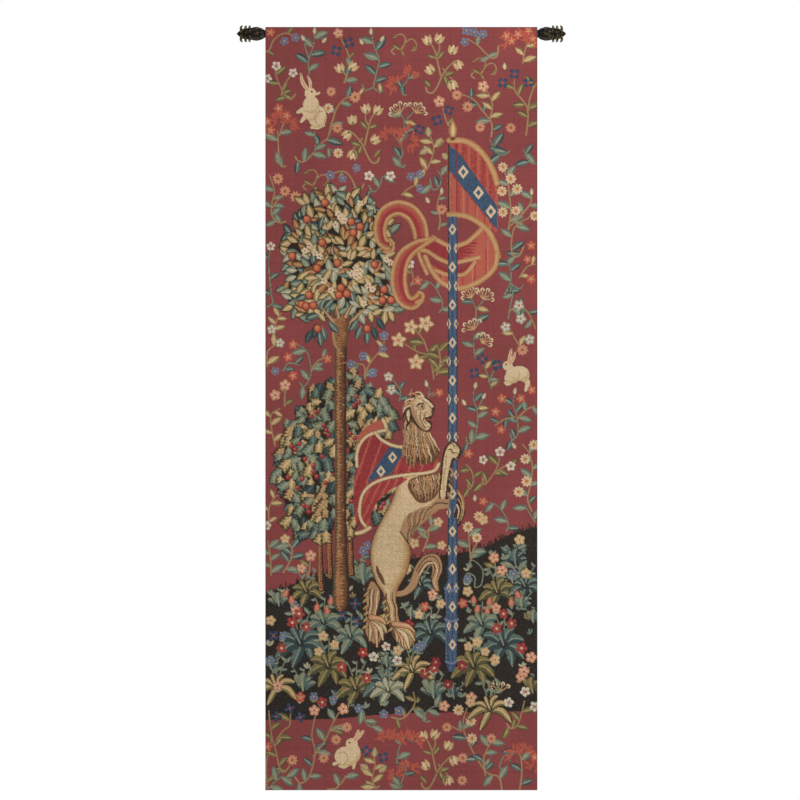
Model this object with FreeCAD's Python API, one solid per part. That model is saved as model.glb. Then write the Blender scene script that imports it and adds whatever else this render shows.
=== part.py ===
import FreeCAD, Part
import math
import os

# Tapestry wall hanging: a lined, woven panel with a sleeve on its back, a tubular rod with a cast
# leaf finial at each end, and two wall brackets whose cradles hold the rod behind the panel.
# Millimetres. The origin is on the wall plane at the centre of the four wall-screw holes. +X is the
# viewer's right, +Y points into the wall and +Z is up: the woven face looks along -Y. A section is
# drawn in (y, z) about the rod's axis and is then extruded along X.

Vector = FreeCAD.Vector
ALONG_X = Vector(1, 0, 0)
TO_WALL = Vector(0, 1, 0)
UP = Vector(0, 0, 1)

# Driving dimensions
PANEL_WIDTH = 680.0
PANEL_HEIGHT = 1908.0
PANEL_TOP = 17.0          # the panel's top edge above the rod's axis
CLOTH = 1.2               # woven cloth
LINING = 0.6              # cotton lining
SLEEVE = 0.8              # heavier cotton of the rod sleeve
GAP = 0.3                 # clearance between the rod and whatever turns or lifts round it

ROD_RADIUS = 9.5
ROD_WALL = 1.2
ROD_HALF_LENGTH = PANEL_WIDTH / 2 + 1.0
PROJECTION = 45.0         # the rod's axis from the wall
ROD_RISE = 28.0           # the rod's axis above the centre of the wall screws

SIDE_HEM = 30.0
TOP_HEM = 30.0
BOTTOM_HEM = 45.0
LINING_INSET = 15.0
LINING_TOP_INSET = 3.0

SLEEVE_HALF_LENGTH = 296.0
SLEEVE_TOP_SEAM = 13.5
SLEEVE_BOTTOM_SEAM = -62.0
SEAM_ALLOWANCE = 6.0

BRACKET_X = 315.0         # centre of each bracket from the middle of the panel
PLATE_WIDTH = 24.0
PLATE_HEIGHT = 64.0
PLATE_TOP = 13.0          # the plate's top above the rod's axis, so that the panel hides it
PLATE_THICKNESS = 3.0
PLATE_CORNER = 7.0
SCREW_SPACING = 26.0
SCREW_HOLE_RADIUS = 2.5
POST_RADIUS = 4.5
POST_SPIGOT_RADIUS = 3.0
CRADLE_WIDTH = 14.0
CRADLE_WALL = 3.0
CRADLE_BACK_HEIGHT = 8.0
CRADLE_LIP_ANGLE = -130.0  # the front lip ends this far round from the wall side, in degrees

CLAMP_RADIUS = 2.0
CLAMP_FIT = 0.05
CLAMP_HEAD_RADIUS = 6.0
CLAMP_FLUTES = 18

SPIGOT_DEPTH = 18.0
SPIGOT_FIT = 0.05
STUD_RADIUS = 4.0
STUD_LENGTH = 16.0
RING_LENGTH = 4.0
RING_RADIUS = 10.5
GRUB_X = PANEL_WIDTH / 2 - 9.0
GRUB_RADIUS = 1.5

# The finial from its ring outwards: distance along the axis and radius of the cast core.
FINIAL_PROFILE = [
    (0.0, 8.6),
    (3.0, 9.2),
    (8.0, 12.8),
    (14.0, 15.2),
    (20.0, 14.4),
    (26.0, 12.4),
    (34.0, 11.2),
    (44.0, 9.6),
    (52.0, 8.2),
    (58.0, 7.0),
    (63.0, 4.4),
]
FINIAL_TIP = 67.0
# Rings of leaf tips: distance along the axis of each ring's root, and the radius its tips reach.
LEAF_RINGS = [(10.0, 17.0), (29.0, 20.5), (42.0, 20.2), (51.0, 19.2)]
LEAVES_IN_RING = 6
LEAF_ROOT_RADIUS = 3.0
LEAF_TIP_RADIUS = 0.8
LEAF_ROOT_DEPTH = 4.0

FRONT = -1.0              # the viewer's side in a section
ROD_CLEAR = ROD_RADIUS + GAP
LINING_BACK = FRONT * ROD_CLEAR
HEM_BACK = LINING_BACK + FRONT * LINING
CLOTH_BACK = HEM_BACK + FRONT * CLOTH
CLOTH_FRONT = CLOTH_BACK + FRONT * CLOTH


def place(y, z, x=0.0):
    """A point given about the rod's axis, in the part's own frame."""
    return Vector(x, y - PROJECTION, z + ROD_RISE)


def slab(half_width, y_back, y_front, z_top, z_bottom):
    """A flat cloth rectangle that spans the given depths and heights."""
    return Part.makeBox(
        2 * half_width, abs(y_back - y_front), z_top - z_bottom,
        place(min(y_back, y_front), z_bottom, -half_width),
    )


def cylinder(radius, start, axis, length):
    return Part.makeCylinder(radius, length, start, axis)


def polar(radius, degrees):
    """A section point at this radius, with 0 degrees towards the wall and 90 upwards."""
    angle = math.radians(degrees)
    return radius * math.cos(angle), radius * math.sin(angle)


def arc(radius, start, end, x):
    """An arc about the rod's axis in the section at x, from one angle to another."""
    middle = (start + end) / 2
    ends = [place(*polar(radius, a), x) for a in (start, middle, end)]
    return Part.Arc(*ends).toShape()


def line(a, b, x):
    return Part.LineSegment(place(*a, x), place(*b, x)).toShape()


def extrude_section(edges, half_length, centre=0.0):
    """The solid between centre - half_length and centre + half_length over a closed section."""
    face = Part.Face(Part.Wire(Part.sortEdges(edges)[0]))
    solid = face.extrude(Vector(2 * half_length, 0, 0))
    solid.translate(Vector(centre - half_length, 0, 0))
    return solid


def one_solid(shape):
    cleaned = shape.removeSplitter()
    return cleaned.Solids[0]


# Soft parts

def tapestry_panel():
    """The woven cloth with its four edges turned to the back."""
    half = PANEL_WIDTH / 2
    bottom = PANEL_TOP - PANEL_HEIGHT
    face = slab(half, CLOTH_BACK, CLOTH_FRONT, PANEL_TOP, bottom)
    turned = slab(half, HEM_BACK, CLOTH_BACK, PANEL_TOP, bottom)
    window = slab(
        half - SIDE_HEM, HEM_BACK, CLOTH_BACK, PANEL_TOP - TOP_HEM, bottom + BOTTOM_HEM
    )
    return one_solid(face.fuse(turned.cut(window)))


def lining():
    half = PANEL_WIDTH / 2 - LINING_INSET
    bottom = PANEL_TOP - PANEL_HEIGHT + LINING_INSET
    return slab(half, LINING_BACK, HEM_BACK, PANEL_TOP - LINING_TOP_INSET, bottom)


def tangent_angle(radius, y, z):
    """Where a straight line from (y, z) below the rod touches the wall side of a round sleeve."""
    distance = math.hypot(y, z)
    return math.degrees(math.atan2(z, y) + math.acos(radius / distance))


def rod_sleeve():
    """The sleeve: seamed above the rod, round the back of it, and down to a seam below it."""
    inner, outer = ROD_CLEAR, ROD_CLEAR + SLEEVE
    flap = LINING_BACK + SLEEVE
    x = 0.0
    inside_turn = tangent_angle(inner, LINING_BACK, SLEEVE_BOTTOM_SEAM)
    outside_turn = tangent_angle(outer, flap, SLEEVE_BOTTOM_SEAM)
    foot = SLEEVE_BOTTOM_SEAM - SEAM_ALLOWANCE
    edges = [
        line((LINING_BACK, SLEEVE_TOP_SEAM), (flap, SLEEVE_TOP_SEAM), x),
        line((flap, SLEEVE_TOP_SEAM), (flap, outer), x),
        line((flap, outer), (0.0, outer), x),
        arc(outer, 90.0, outside_turn, x),
        line(polar(outer, outside_turn), (flap, SLEEVE_BOTTOM_SEAM), x),
        line((flap, SLEEVE_BOTTOM_SEAM), (flap, foot), x),
        line((flap, foot), (LINING_BACK, foot), x),
        line((LINING_BACK, foot), (LINING_BACK, SLEEVE_BOTTOM_SEAM), x),
        line((LINING_BACK, SLEEVE_BOTTOM_SEAM), polar(inner, inside_turn), x),
        arc(inner, inside_turn, 90.0, x),
        line((0.0, inner), (LINING_BACK, inner), x),
        line((LINING_BACK, inner), (LINING_BACK, SLEEVE_TOP_SEAM), x),
    ]
    return extrude_section(edges, SLEEVE_HALF_LENGTH)


# Rod and finials, drawn for the right-hand end

def rod_tube():
    start = place(0, 0, -ROD_HALF_LENGTH)
    tube = cylinder(ROD_RADIUS, start, ALONG_X, 2 * ROD_HALF_LENGTH)
    tube = tube.cut(cylinder(ROD_RADIUS - ROD_WALL, start, ALONG_X, 2 * ROD_HALF_LENGTH))
    for x in (-GRUB_X, GRUB_X):
        tube = tube.cut(cylinder(GRUB_RADIUS, place(0, 0, x), -UP, ROD_RADIUS + 1))
    return one_solid(tube)


def grub_screw():
    """A socket grub screw that stands out of the tube's underside."""
    tip = ROD_RADIUS - ROD_WALL + SPIGOT_FIT / 2
    length = ROD_WALL + 1.8
    radius = GRUB_RADIUS - CLAMP_FIT
    screw = cylinder(radius, place(0, -tip, GRUB_X), -UP, length)
    socket_start = place(0, -tip - length, GRUB_X)
    socket = Part.Face(hexagon(socket_start, 0.75)).extrude(Vector(0, 0, 1.2))
    return one_solid(screw.cut(socket))


def hexagon(centre, radius):
    corners = [
        centre + Vector(radius * math.cos(a), radius * math.sin(a), 0)
        for a in (math.radians(60 * i) for i in range(6))
    ]
    return Part.makePolygon(corners + corners[:1])


def finial_spigot():
    """The plug that slides into the tube, with a stud that holds the casting."""
    radius = ROD_RADIUS - ROD_WALL - SPIGOT_FIT
    start = ROD_HALF_LENGTH - SPIGOT_DEPTH
    plug = cylinder(radius, place(0, 0, start), ALONG_X, SPIGOT_DEPTH)
    plug = plug.makeChamfer(1.0, [plug.Edges[i] for i in circles_at(plug, start)])
    stud = cylinder(STUD_RADIUS, place(0, 0, ROD_HALF_LENGTH), ALONG_X, STUD_LENGTH)
    return one_solid(plug.fuse(stud))


def circles_at(solid, x):
    """Indexes of the round edges that lie in the plane at x."""
    return [
        i for i, e in enumerate(solid.Edges)
        if abs(e.BoundBox.XMin - x) < 1e-6 and abs(e.BoundBox.XMax - x) < 1e-6
    ]


def finial_ring():
    """The plain ring between the tube's end and the casting."""
    start = place(0, 0, ROD_HALF_LENGTH)
    ring = cylinder(RING_RADIUS, start, ALONG_X, RING_LENGTH)
    ends = circles_at(ring, ROD_HALF_LENGTH) + circles_at(ring, ROD_HALF_LENGTH + RING_LENGTH)
    ring = ring.makeFillet(1.2, [ring.Edges[i] for i in ends])
    return one_solid(ring.cut(cylinder(STUD_RADIUS, start, ALONG_X, RING_LENGTH)))


def finial_core(base_x):
    """The turned core of the casting, with a blind hole for the stud."""
    rim = [place(0, r, base_x + x) for x, r in FINIAL_PROFILE]
    curve = Part.BSplineCurve()
    curve.interpolate(rim + [place(0, 0, base_x + FINIAL_TIP)])
    axis_start = place(0, 0, base_x)
    outline = Part.Wire([
        Part.LineSegment(axis_start, rim[0]).toShape(),
        curve.toShape(),
        Part.LineSegment(place(0, 0, base_x + FINIAL_TIP), axis_start).toShape(),
    ])
    core = Part.Face(outline).revolve(axis_start, ALONG_X, 360)
    hole = cylinder(STUD_RADIUS, axis_start, ALONG_X, STUD_LENGTH - RING_LENGTH)
    return core.cut(hole)


def core_radius(x):
    """The core's radius by straight lines between the points of its profile."""
    for (x0, r0), (x1, r1) in zip(FINIAL_PROFILE, FINIAL_PROFILE[1:]):
        if x0 <= x <= x1:
            return r0 + (r1 - r0) * (x - x0) / (x1 - x0)
    return FINIAL_PROFILE[-1][1]


def leaf_tip(base_x, root_x, reach, degrees):
    """One leaf tip: a tapered thorn that leans outwards from the core."""
    root_radius = core_radius(root_x) - LEAF_ROOT_DEPTH
    run = 7.0
    direction = Vector(run, 0, reach - LEAF_TIP_RADIUS - root_radius)
    root = place(0, root_radius, base_x + root_x)
    thorn = Part.makeCone(
        LEAF_ROOT_RADIUS, LEAF_TIP_RADIUS, direction.Length, root, direction
    )
    thorn.rotate(place(0, 0), ALONG_X, degrees)
    return thorn


def finial_casting():
    base_x = ROD_HALF_LENGTH + RING_LENGTH
    step = 360.0 / LEAVES_IN_RING
    leaves = [
        leaf_tip(base_x, root_x, reach, (i + 0.5 * (ring % 2)) * step)
        for ring, (root_x, reach) in enumerate(LEAF_RINGS)
        for i in range(LEAVES_IN_RING)
    ]
    return one_solid(finial_core(base_x).multiFuse(leaves))


# Bracket, drawn for the right-hand side

def wall_plate():
    """The plate against the wall: the post's rivet hole near its top, and two screw holes below."""
    bottom = ROD_RISE + PLATE_TOP - PLATE_HEIGHT
    plate = Part.makeBox(
        PLATE_WIDTH, PLATE_THICKNESS, PLATE_HEIGHT,
        Vector(BRACKET_X - PLATE_WIDTH / 2, -PLATE_THICKNESS, bottom),
    )
    corners = [e for e in plate.Edges if abs(e.tangentAt(e.FirstParameter).y) > 0.99]
    plate = plate.makeFillet(PLATE_CORNER, corners)
    front = Vector(BRACKET_X, -PLATE_THICKNESS, 0)
    for z in (-SCREW_SPACING / 2, SCREW_SPACING / 2):
        hole_start = front + Vector(0, 0, z)
        plate = plate.cut(cylinder(SCREW_HOLE_RADIUS, hole_start, TO_WALL, PLATE_THICKNESS))
    rivet_start = front + Vector(0, 0, ROD_RISE)
    return one_solid(plate.cut(cylinder(POST_SPIGOT_RADIUS, rivet_start, TO_WALL, PLATE_THICKNESS)))


def bracket_post():
    """The turned post from the wall plate to the cradle, with a collar against the plate."""
    cradle_back = -PROJECTION + ROD_CLEAR + CRADLE_WALL
    outline = [
        (0.0, 0.0),
        (0.0, POST_SPIGOT_RADIUS),
        (-PLATE_THICKNESS, POST_SPIGOT_RADIUS),
        (-PLATE_THICKNESS, 8.0),
        (-PLATE_THICKNESS - 2.5, 8.0),
        (-PLATE_THICKNESS - 5.5, POST_RADIUS),
        (cradle_back + 4.0, POST_RADIUS),
        (cradle_back + 2.0, 6.2),
        (cradle_back, 6.2),
        (cradle_back, POST_SPIGOT_RADIUS),
        (cradle_back - CRADLE_WALL + 0.8, POST_SPIGOT_RADIUS),
        (cradle_back - CRADLE_WALL + 0.8, 0.0),
    ]
    foot = Vector(BRACKET_X, 0, ROD_RISE)
    corners = [foot + Vector(0, y, r) for y, r in outline]
    wire = Part.makePolygon(corners + corners[:1])
    return Part.Face(wire).revolve(foot, TO_WALL, 360).Solids[0]


def rod_cradle():
    """The J-shaped cradle, open at the top so that the rod lifts out."""
    inner, outer = ROD_CLEAR, ROD_CLEAR + CRADLE_WALL
    x = BRACKET_X
    lip_in, lip_out = polar(inner, CRADLE_LIP_ANGLE), polar(outer, CRADLE_LIP_ANGLE)
    edges = [
        arc(inner, 0.0, CRADLE_LIP_ANGLE, x),
        line(lip_in, lip_out, x),
        arc(outer, CRADLE_LIP_ANGLE, 0.0, x),
        line((outer, 0.0), (outer, CRADLE_BACK_HEIGHT), x),
        line((outer, CRADLE_BACK_HEIGHT), (inner, CRADLE_BACK_HEIGHT), x),
        line((inner, CRADLE_BACK_HEIGHT), (inner, 0.0), x),
    ]
    hook = extrude_section(edges, CRADLE_WIDTH / 2)
    boss_top = -ROD_CLEAR - CRADLE_WALL / 2
    hook = hook.fuse(cylinder(5.0, place(0, boss_top, x), -UP, 5.5))
    hook = hook.cut(cylinder(CLAMP_RADIUS, place(0, 0, x), -UP, 30.0))
    spigot_start = place(ROD_CLEAR + 0.8, 0, x)
    hook = hook.cut(cylinder(POST_SPIGOT_RADIUS, spigot_start, TO_WALL, CRADLE_WALL))
    return one_solid(hook)


def clamp_screw():
    """The fluted thumbscrew under the cradle that holds the rod down."""
    tip = ROD_RADIUS + 0.1
    head_top = ROD_CLEAR + 11.0
    x = BRACKET_X
    shank = cylinder(CLAMP_RADIUS - CLAMP_FIT, place(0, -tip, x), -UP, head_top - tip)
    collar = cylinder(3.6, place(0, -head_top + 1.5, x), -UP, 1.5)
    head = cylinder(CLAMP_HEAD_RADIUS, place(0, -head_top, x), -UP, 5.0)
    flutes = []
    for i in range(CLAMP_FLUTES):
        y, dx = polar(CLAMP_HEAD_RADIUS + 0.25, i * 360.0 / CLAMP_FLUTES)
        flutes.append(cylinder(0.7, place(y, -head_top, x + dx), -UP, 5.0))
    head = head.cut(Part.makeCompound(flutes))
    return one_solid(shank.multiFuse([collar, head]))


# Files

def write(name, shape):
    if not shape.isValid():
        raise ValueError(f"{name} is not a valid solid")
    shape.exportStep(os.path.join("parts", name + ".step"))
    print(f"{name}: {shape.Volume / 1000:.2f} cm3")


def write_pair(name, shape):
    """The shape as drawn on the right, and its mirror image on the left."""
    write(name + "_right", shape)
    write(name + "_left", shape.mirror(Vector(0, 0, 0), ALONG_X))


os.makedirs("parts", exist_ok=True)
write("tapestry_panel", tapestry_panel())
write("lining", lining())
write("rod_sleeve", rod_sleeve())
write("rod_tube", rod_tube())
write_pair("grub_screw", grub_screw())
write_pair("finial_spigot", finial_spigot())
write_pair("finial_ring", finial_ring())
write_pair("finial_casting", finial_casting())
write_pair("wall_plate", wall_plate())
write_pair("bracket_post", bracket_post())
write_pair("rod_cradle", rod_cradle())
write_pair("clamp_screw", clamp_screw())
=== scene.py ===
import math

import bpy
import numpy as np
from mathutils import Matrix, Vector


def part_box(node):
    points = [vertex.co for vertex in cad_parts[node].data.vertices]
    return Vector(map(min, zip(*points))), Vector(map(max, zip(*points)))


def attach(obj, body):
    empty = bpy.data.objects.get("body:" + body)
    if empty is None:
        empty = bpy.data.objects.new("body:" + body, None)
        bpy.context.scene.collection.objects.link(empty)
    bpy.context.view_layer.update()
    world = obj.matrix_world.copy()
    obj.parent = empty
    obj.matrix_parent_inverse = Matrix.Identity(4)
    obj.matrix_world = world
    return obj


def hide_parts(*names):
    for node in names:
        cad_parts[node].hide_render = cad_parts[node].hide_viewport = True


# The looks of a tapestry wall hanging over its CAD frame. Metres, in the frame's own axes: +X is the
# viewer's right, +Y runs into the wall and +Z is up. The picture on the cloth is drawn in centimetres.

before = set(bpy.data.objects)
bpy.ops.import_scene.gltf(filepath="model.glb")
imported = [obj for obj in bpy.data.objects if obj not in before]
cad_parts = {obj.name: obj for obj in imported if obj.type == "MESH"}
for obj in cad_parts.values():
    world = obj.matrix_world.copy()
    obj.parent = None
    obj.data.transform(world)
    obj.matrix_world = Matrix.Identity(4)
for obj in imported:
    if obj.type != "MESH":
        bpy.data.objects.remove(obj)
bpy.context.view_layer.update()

MM = 0.001
PANEL_LOW, PANEL_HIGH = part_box("tapestry_panel")
LINING_LOW, LINING_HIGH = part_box("lining")
SLEEVE_LOW, SLEEVE_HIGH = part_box("rod_sleeve")
ROD_LOW, ROD_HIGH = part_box("rod_tube")
ROD_Y = (ROD_LOW.y + ROD_HIGH.y) / 2
ROD_Z = (ROD_LOW.z + ROD_HIGH.z) / 2
PANEL_WIDTH = PANEL_HIGH.x - PANEL_LOW.x
PANEL_HEIGHT = PANEL_HIGH.z - PANEL_LOW.z

WEAVE_COLUMNS = 457       # picture cells across the cloth, each about 1.5 mm
WEAVE_ROWS = 1281
BACK_STEP = 8             # the plain back is this many cells coarser
WAVE = 2.2 * MM           # how far the hanging cloth strays from flat
SLEEVE_WALL = 0.8 * MM    # heavier cotton than the lining


# The woven picture. Lengths are centimetres on the cloth: x from its left edge, y down from its top.
# Directions are degrees, with 0 to the right and 90 up.

YARN = {
    "rose": (134, 67, 66),
    "night": (45, 38, 33),
    "night_blue": (58, 60, 60),
    "cream": (208, 182, 146),
    "ivory": (212, 198, 178),
    "straw": (184, 153, 106),
    "tan": (164, 128, 94),
    "ochre": (164, 113, 72),
    "orange": (186, 112, 70),
    "coral": (168, 78, 62),
    "salmon": (194, 130, 104),
    "flame": (174, 91, 75),
    "gilt": (188, 137, 98),
    "red": (152, 59, 59),
    "crimson": (131, 48, 53),
    "brown": (106, 72, 52),
    "umber": (68, 47, 37),
    "teal": (88, 106, 98),
    "deep_teal": (56, 70, 70),
    "sage": (128, 132, 106),
    "mist": (158, 156, 134),
    "olive": (122, 110, 70),
    "moss": (84, 82, 56),
    "blue": (70, 90, 112),
    "sky": (112, 121, 142),
    "navy": (52, 68, 90),
}
YARN_INDEX = {name: i for i, name in enumerate(YARN)}


class Web:
    """The cloth's front as a grid of weave cells, each with one yarn."""

    def __init__(self, width, height, columns, rows):
        self.yarn = np.full((rows, columns), YARN_INDEX["rose"], np.uint8)
        self.step = (width / columns, height / rows)
        self.x = (np.arange(columns) + 0.5) * self.step[0]
        self.y = (np.arange(rows) + 0.5) * self.step[1]
        self.random = np.random.default_rng(7)

    def window(self, x0, y0, x1, y1):
        """The cells inside a rectangle: their slices and their coordinates."""
        i0, i1 = np.searchsorted(self.x, (x0, x1))
        j0, j1 = np.searchsorted(self.y, (y0, y1))
        return (slice(j0, j1), slice(i0, i1)), self.x[None, i0:i1], self.y[j0:j1, None]

    def set(self, cells, mask, yarn):
        self.yarn[cells][mask] = YARN_INDEX[yarn]


def points(text):
    """Points written as "x,y x,y"."""
    return np.array([[float(v) for v in pair.split(",")] for pair in text.split()])


def smooth(path, closed=False, steps=6):
    """A Catmull-Rom curve through the points."""
    path = np.asarray(path, float)
    if len(path) < 3:
        return path
    if closed:
        before, after = path[-1:], path[:2]
    else:
        before, after = path[:1], path[-1:]
    p = np.vstack([before, path, after])
    t = np.arange(steps)[:, None] / steps
    runs = []
    for a, b, c, d in zip(p, p[1:], p[2:], p[3:]):
        curve = 2 * b + (c - a) * t + (2 * a - 5 * b + 4 * c - d) * t**2 + (3 * b - a - 3 * c + d) * t**3
        runs.append(curve / 2)
    if not closed:
        runs.append(path[-1:])
    return np.vstack(runs)


def inside(outline, x, y):
    """Which cells lie inside a closed outline."""
    result = np.zeros(np.broadcast(x, y).shape, bool)
    for (x0, y0), (x1, y1) in zip(outline, np.roll(outline, -1, axis=0)):
        if y0 == y1:
            continue
        crosses = (y0 <= y) != (y1 <= y)
        result ^= crosses & (x < x0 + (y - y0) * (x1 - x0) / (y1 - y0))
    return result


def area(web, outline, yarn, rounded=True):
    """Fills a closed outline and returns its cells and mask."""
    outline = points(outline) if isinstance(outline, str) else np.asarray(outline, float)
    if rounded:
        outline = smooth(outline, closed=True)
    cells, x, y = web.window(*outline.min(0), *outline.max(0))
    mask = inside(outline, x, y)
    web.set(cells, mask, yarn)
    return cells, mask


def stroke(web, path, widths, yarn):
    """Draws along a smooth path; the width changes evenly between the widths given."""
    path = smooth(points(path) if isinstance(path, str) else path)
    at = np.linspace(0, 1, len(path))
    widths = np.atleast_1d(widths).astype(float)
    half = np.interp(at, np.linspace(0, 1, len(widths)), widths) / 2
    for a, b, h0, h1 in zip(path, path[1:], half, half[1:]):
        reach = max(h0, h1, 0.09)
        low, high = np.minimum(a, b) - reach, np.maximum(a, b) + reach
        cells, x, y = web.window(*low, *high)
        run = b - a
        length = run @ run
        if length == 0:
            continue
        t = np.clip(((x - a[0]) * run[0] + (y - a[1]) * run[1]) / length, 0, 1)
        gap = np.hypot(x - a[0] - t * run[0], y - a[1] - t * run[1])
        web.set(cells, gap <= np.maximum(h0 + (h1 - h0) * t, 0.075), yarn)


def lens(web, x, y, direction, length, width, yarn, bend=0.0, low=-1.0, high=1.0, full=1.0):
    """A leaf or petal from its foot at (x, y). low and high cut it to part of its width."""
    angle = math.radians(direction)
    c, s = math.cos(angle), -math.sin(angle)
    reach = length + width
    cells, gx, gy = web.window(x - reach, y - reach, x + reach, y + reach)
    u = ((gx - x) * c + (gy - y) * s) / length
    v = (-(gx - x) * s + (gy - y) * c) / (width / 2)
    v = v - 2 * bend * u * u * length / width
    body = np.sin(np.pi * np.clip(u, 0, 1) ** full)
    mask = (u > 0) & (u < 1) & (v > low * body) & (v < high * body)
    web.set(cells, mask, yarn)


def hachure(web, cells, mask, yarn, side, depth, pitch):
    """Shades a shape inwards from one side with the fine wedges that a weaver blends two colours with."""
    x, y = web.x[cells[1]][None, :], web.y[cells[0]][:, None]
    left = np.where(mask, x, np.inf).min(axis=1, keepdims=True)
    right = np.where(mask, x, -np.inf).max(axis=1, keepdims=True)
    gap = x - left if side == "left" else right - x
    wedge = np.abs(np.mod(y / pitch, 1) * 2 - 1)
    reach = 0.65 + 0.35 * np.sin(np.floor(y / pitch) * 2.4 + np.sin(np.floor(y / pitch) * 1.7) * 2)
    web.set(cells, mask & (gap < depth * (0.35 + 0.65 * wedge * reach)), yarn)


def hachures(web, cells, mask, *marks):
    """Several hachures in turn, each as its yarn, side, depth and pitch."""
    for yarn, side, depth, pitch in marks:
        hachure(web, cells, mask, yarn, side, depth, pitch)


def disc(web, x, y, rx, ry, yarn):
    cells, gx, gy = web.window(x - rx, y - ry, x + rx, y + ry)
    web.set(cells, ((gx - x) / rx) ** 2 + ((gy - y) / ry) ** 2 <= 1, yarn)


# Flowers: each draws itself about (x, y) at radius r, turned by a few degrees.

def petal_ring(web, x, y, r, count, width, yarn, turn, full=1.0):
    for i in range(count):
        lens(web, x, y, turn + i * 360 / count, r, r * width, yarn, full=full)


def round_flower(web, x, y, r, turn, outer, inner, eye, count=5):
    for i in range(count):
        a = math.radians(turn + i * 360 / count)
        px, py = x + 0.58 * r * math.cos(a), y - 0.58 * r * math.sin(a)
        disc(web, px, py, 0.4 * r, 0.4 * r, outer)
    petal_ring(web, x, y, 0.82 * r, count, 0.34, inner, turn)
    disc(web, x, y, 0.2 * r, 0.2 * r, eye)


def daisy(web, x, y, r, turn, outer, inner, eye, count=9):
    petal_ring(web, x, y, r, count, 0.42, outer, turn, full=1.6)
    petal_ring(web, x, y, 0.75 * r, count, 0.2, inner, turn)
    disc(web, x, y, 0.26 * r, 0.26 * r, eye)


def star_flower(web, x, y, r, turn, outer, inner, eye, count=5):
    petal_ring(web, x, y, r, count, 0.72, inner, turn)
    petal_ring(web, x, y, 0.9 * r, count, 0.5, outer, turn)
    petal_ring(web, x, y, 0.5 * r, count, 0.14, inner, turn)
    disc(web, x, y, 0.17 * r, 0.17 * r, eye)


def ragged_flower(web, x, y, r, turn, outer, inner, eye, count=5):
    for spread in (-16, 0, 16):
        petal_ring(web, x, y, r * (1 - abs(spread) / 160), count, 0.36, outer, turn + spread, full=1.8)
    petal_ring(web, x, y, 0.7 * r, count, 0.26, inner, turn)
    disc(web, x, y, 0.2 * r, 0.2 * r, eye)


FLOWER_KINDS = {
    "pink": (round_flower, 1.4, "salmon", "cream", "coral"),
    "white": (round_flower, 1.3, "mist", "ivory", "coral"),
    "ivory": (ragged_flower, 1.3, "ivory", "mist", "coral"),
    "coral": (round_flower, 1.3, "coral", "salmon", "straw"),
    "yellow": (round_flower, 1.3, "straw", "cream", "orange"),
    "salmon_daisy": (daisy, 1.4, "salmon", "straw", "coral"),
    "cream_daisy": (daisy, 1.4, "cream", "straw", "orange"),
    "star": (star_flower, 2.2, "cream", "ochre", "orange"),
    "blue": (ragged_flower, 1.5, "navy", "blue", "coral"),
    "sky": (ragged_flower, 1.25, "sky", "blue", "straw"),
    "red": (ragged_flower, 1.5, "red", "coral", "cream"),
    "crimson": (ragged_flower, 1.5, "crimson", "red", "straw"),
}


def flowers(web, kind, places):
    shape, r, outer, inner, eye = FLOWER_KINDS[kind]
    count = 4 if kind == "blue" else 5
    for x, y in points(places):
        size = r * web.random.uniform(0.92, 1.08)
        turn = web.random.uniform(0, 90)
        if shape is daisy:
            daisy(web, x, y, size, turn, outer, inner, eye)
        else:
            shape(web, x, y, size, turn, outer, inner, eye, count)


def tulip(web, x, y, direction):
    """A cup of three petals that opens in the direction; (x, y) is its middle."""
    size = 2.6
    a = math.radians(direction)
    fx, fy = x - 0.5 * size * math.cos(a), y + 0.5 * size * math.sin(a)
    for spread, yarn in ((26, "straw"), (-26, "straw"), (0, "cream")):
        lens(web, fx, fy, direction + spread, size, 0.52 * size, yarn, full=0.75)
    cup = 0.27 * size
    disc(web, fx + 0.3 * size * math.cos(a), fy - 0.3 * size * math.sin(a), cup, cup, "cream")
    lens(web, fx, fy, direction - 12, 0.8 * size, 0.1 * size, "ochre")
    lens(web, fx, fy, direction, 0.3 * size, 0.3 * size, "olive")


def bud(web, x, y, direction, size=1.8, shell="sage", heart="cream"):
    """A pointed bud in its shell."""
    lens(web, x, y, direction, size, 0.62 * size, shell, full=0.8)
    lens(web, x, y, direction, size * 0.95, 0.34 * size, heart, full=0.8)


def loops(web, x, y, direction):
    """A fan of stalks that each end in an open drop."""
    spread, count, length = 64, 5, 3.0
    for i in range(count):
        angle = direction + spread * (i / (count - 1) - 0.5) * 2
        reach = length * web.random.uniform(0.6, 1.0)
        a = math.radians(angle)
        stroke(web, [(x, y), (x + 0.7 * reach * math.cos(a), y - 0.7 * reach * math.sin(a))], 0.26, "straw")
        tx, ty = x + 0.55 * reach * math.cos(a), y - 0.55 * reach * math.sin(a)
        lens(web, tx, ty, angle, 1.6, 1.1, "cream", full=1.7)
        lens(web, tx, ty, angle, 1.25, 0.45, "brown", full=1.7)


def fringe(web, x, y, direction):
    """A ragged tuft of curling florets, some in front of others."""
    length = 3.2
    for i in range(15):
        angle = direction + (i - 7) * 12 + web.random.uniform(-8, 8)
        reach = length * web.random.uniform(0.4, 1.0)
        bend = 0.3 if i % 2 else -0.3
        a = math.radians(angle)
        fx, fy = x + 0.25 * reach * math.cos(a), y - 0.25 * reach * math.sin(a)
        lens(web, fx, fy, angle, 0.85 * reach, 0.66, "coral", bend, full=1.6)
        lens(web, fx, fy, angle, 0.8 * reach, 0.28, "flame", bend, full=1.6)
    a = math.radians(direction)
    stroke(web, [(x, y), (x + 1.1 * math.cos(a), y - 1.1 * math.sin(a))], 0.3, "brown")


LEAF_YARNS = {
    "teal": ("deep_teal", "teal", "mist"),
    "sage": ("teal", "sage", "mist"),
    "olive": ("moss", "olive", "straw"),
    "cream": ("olive", "straw", "cream"),
    "ochre": ("brown", "ochre", "straw"),
    "mist": ("sage", "mist", "cream"),
    "deep": ("night_blue", "deep_teal", "teal"),
}


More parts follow.
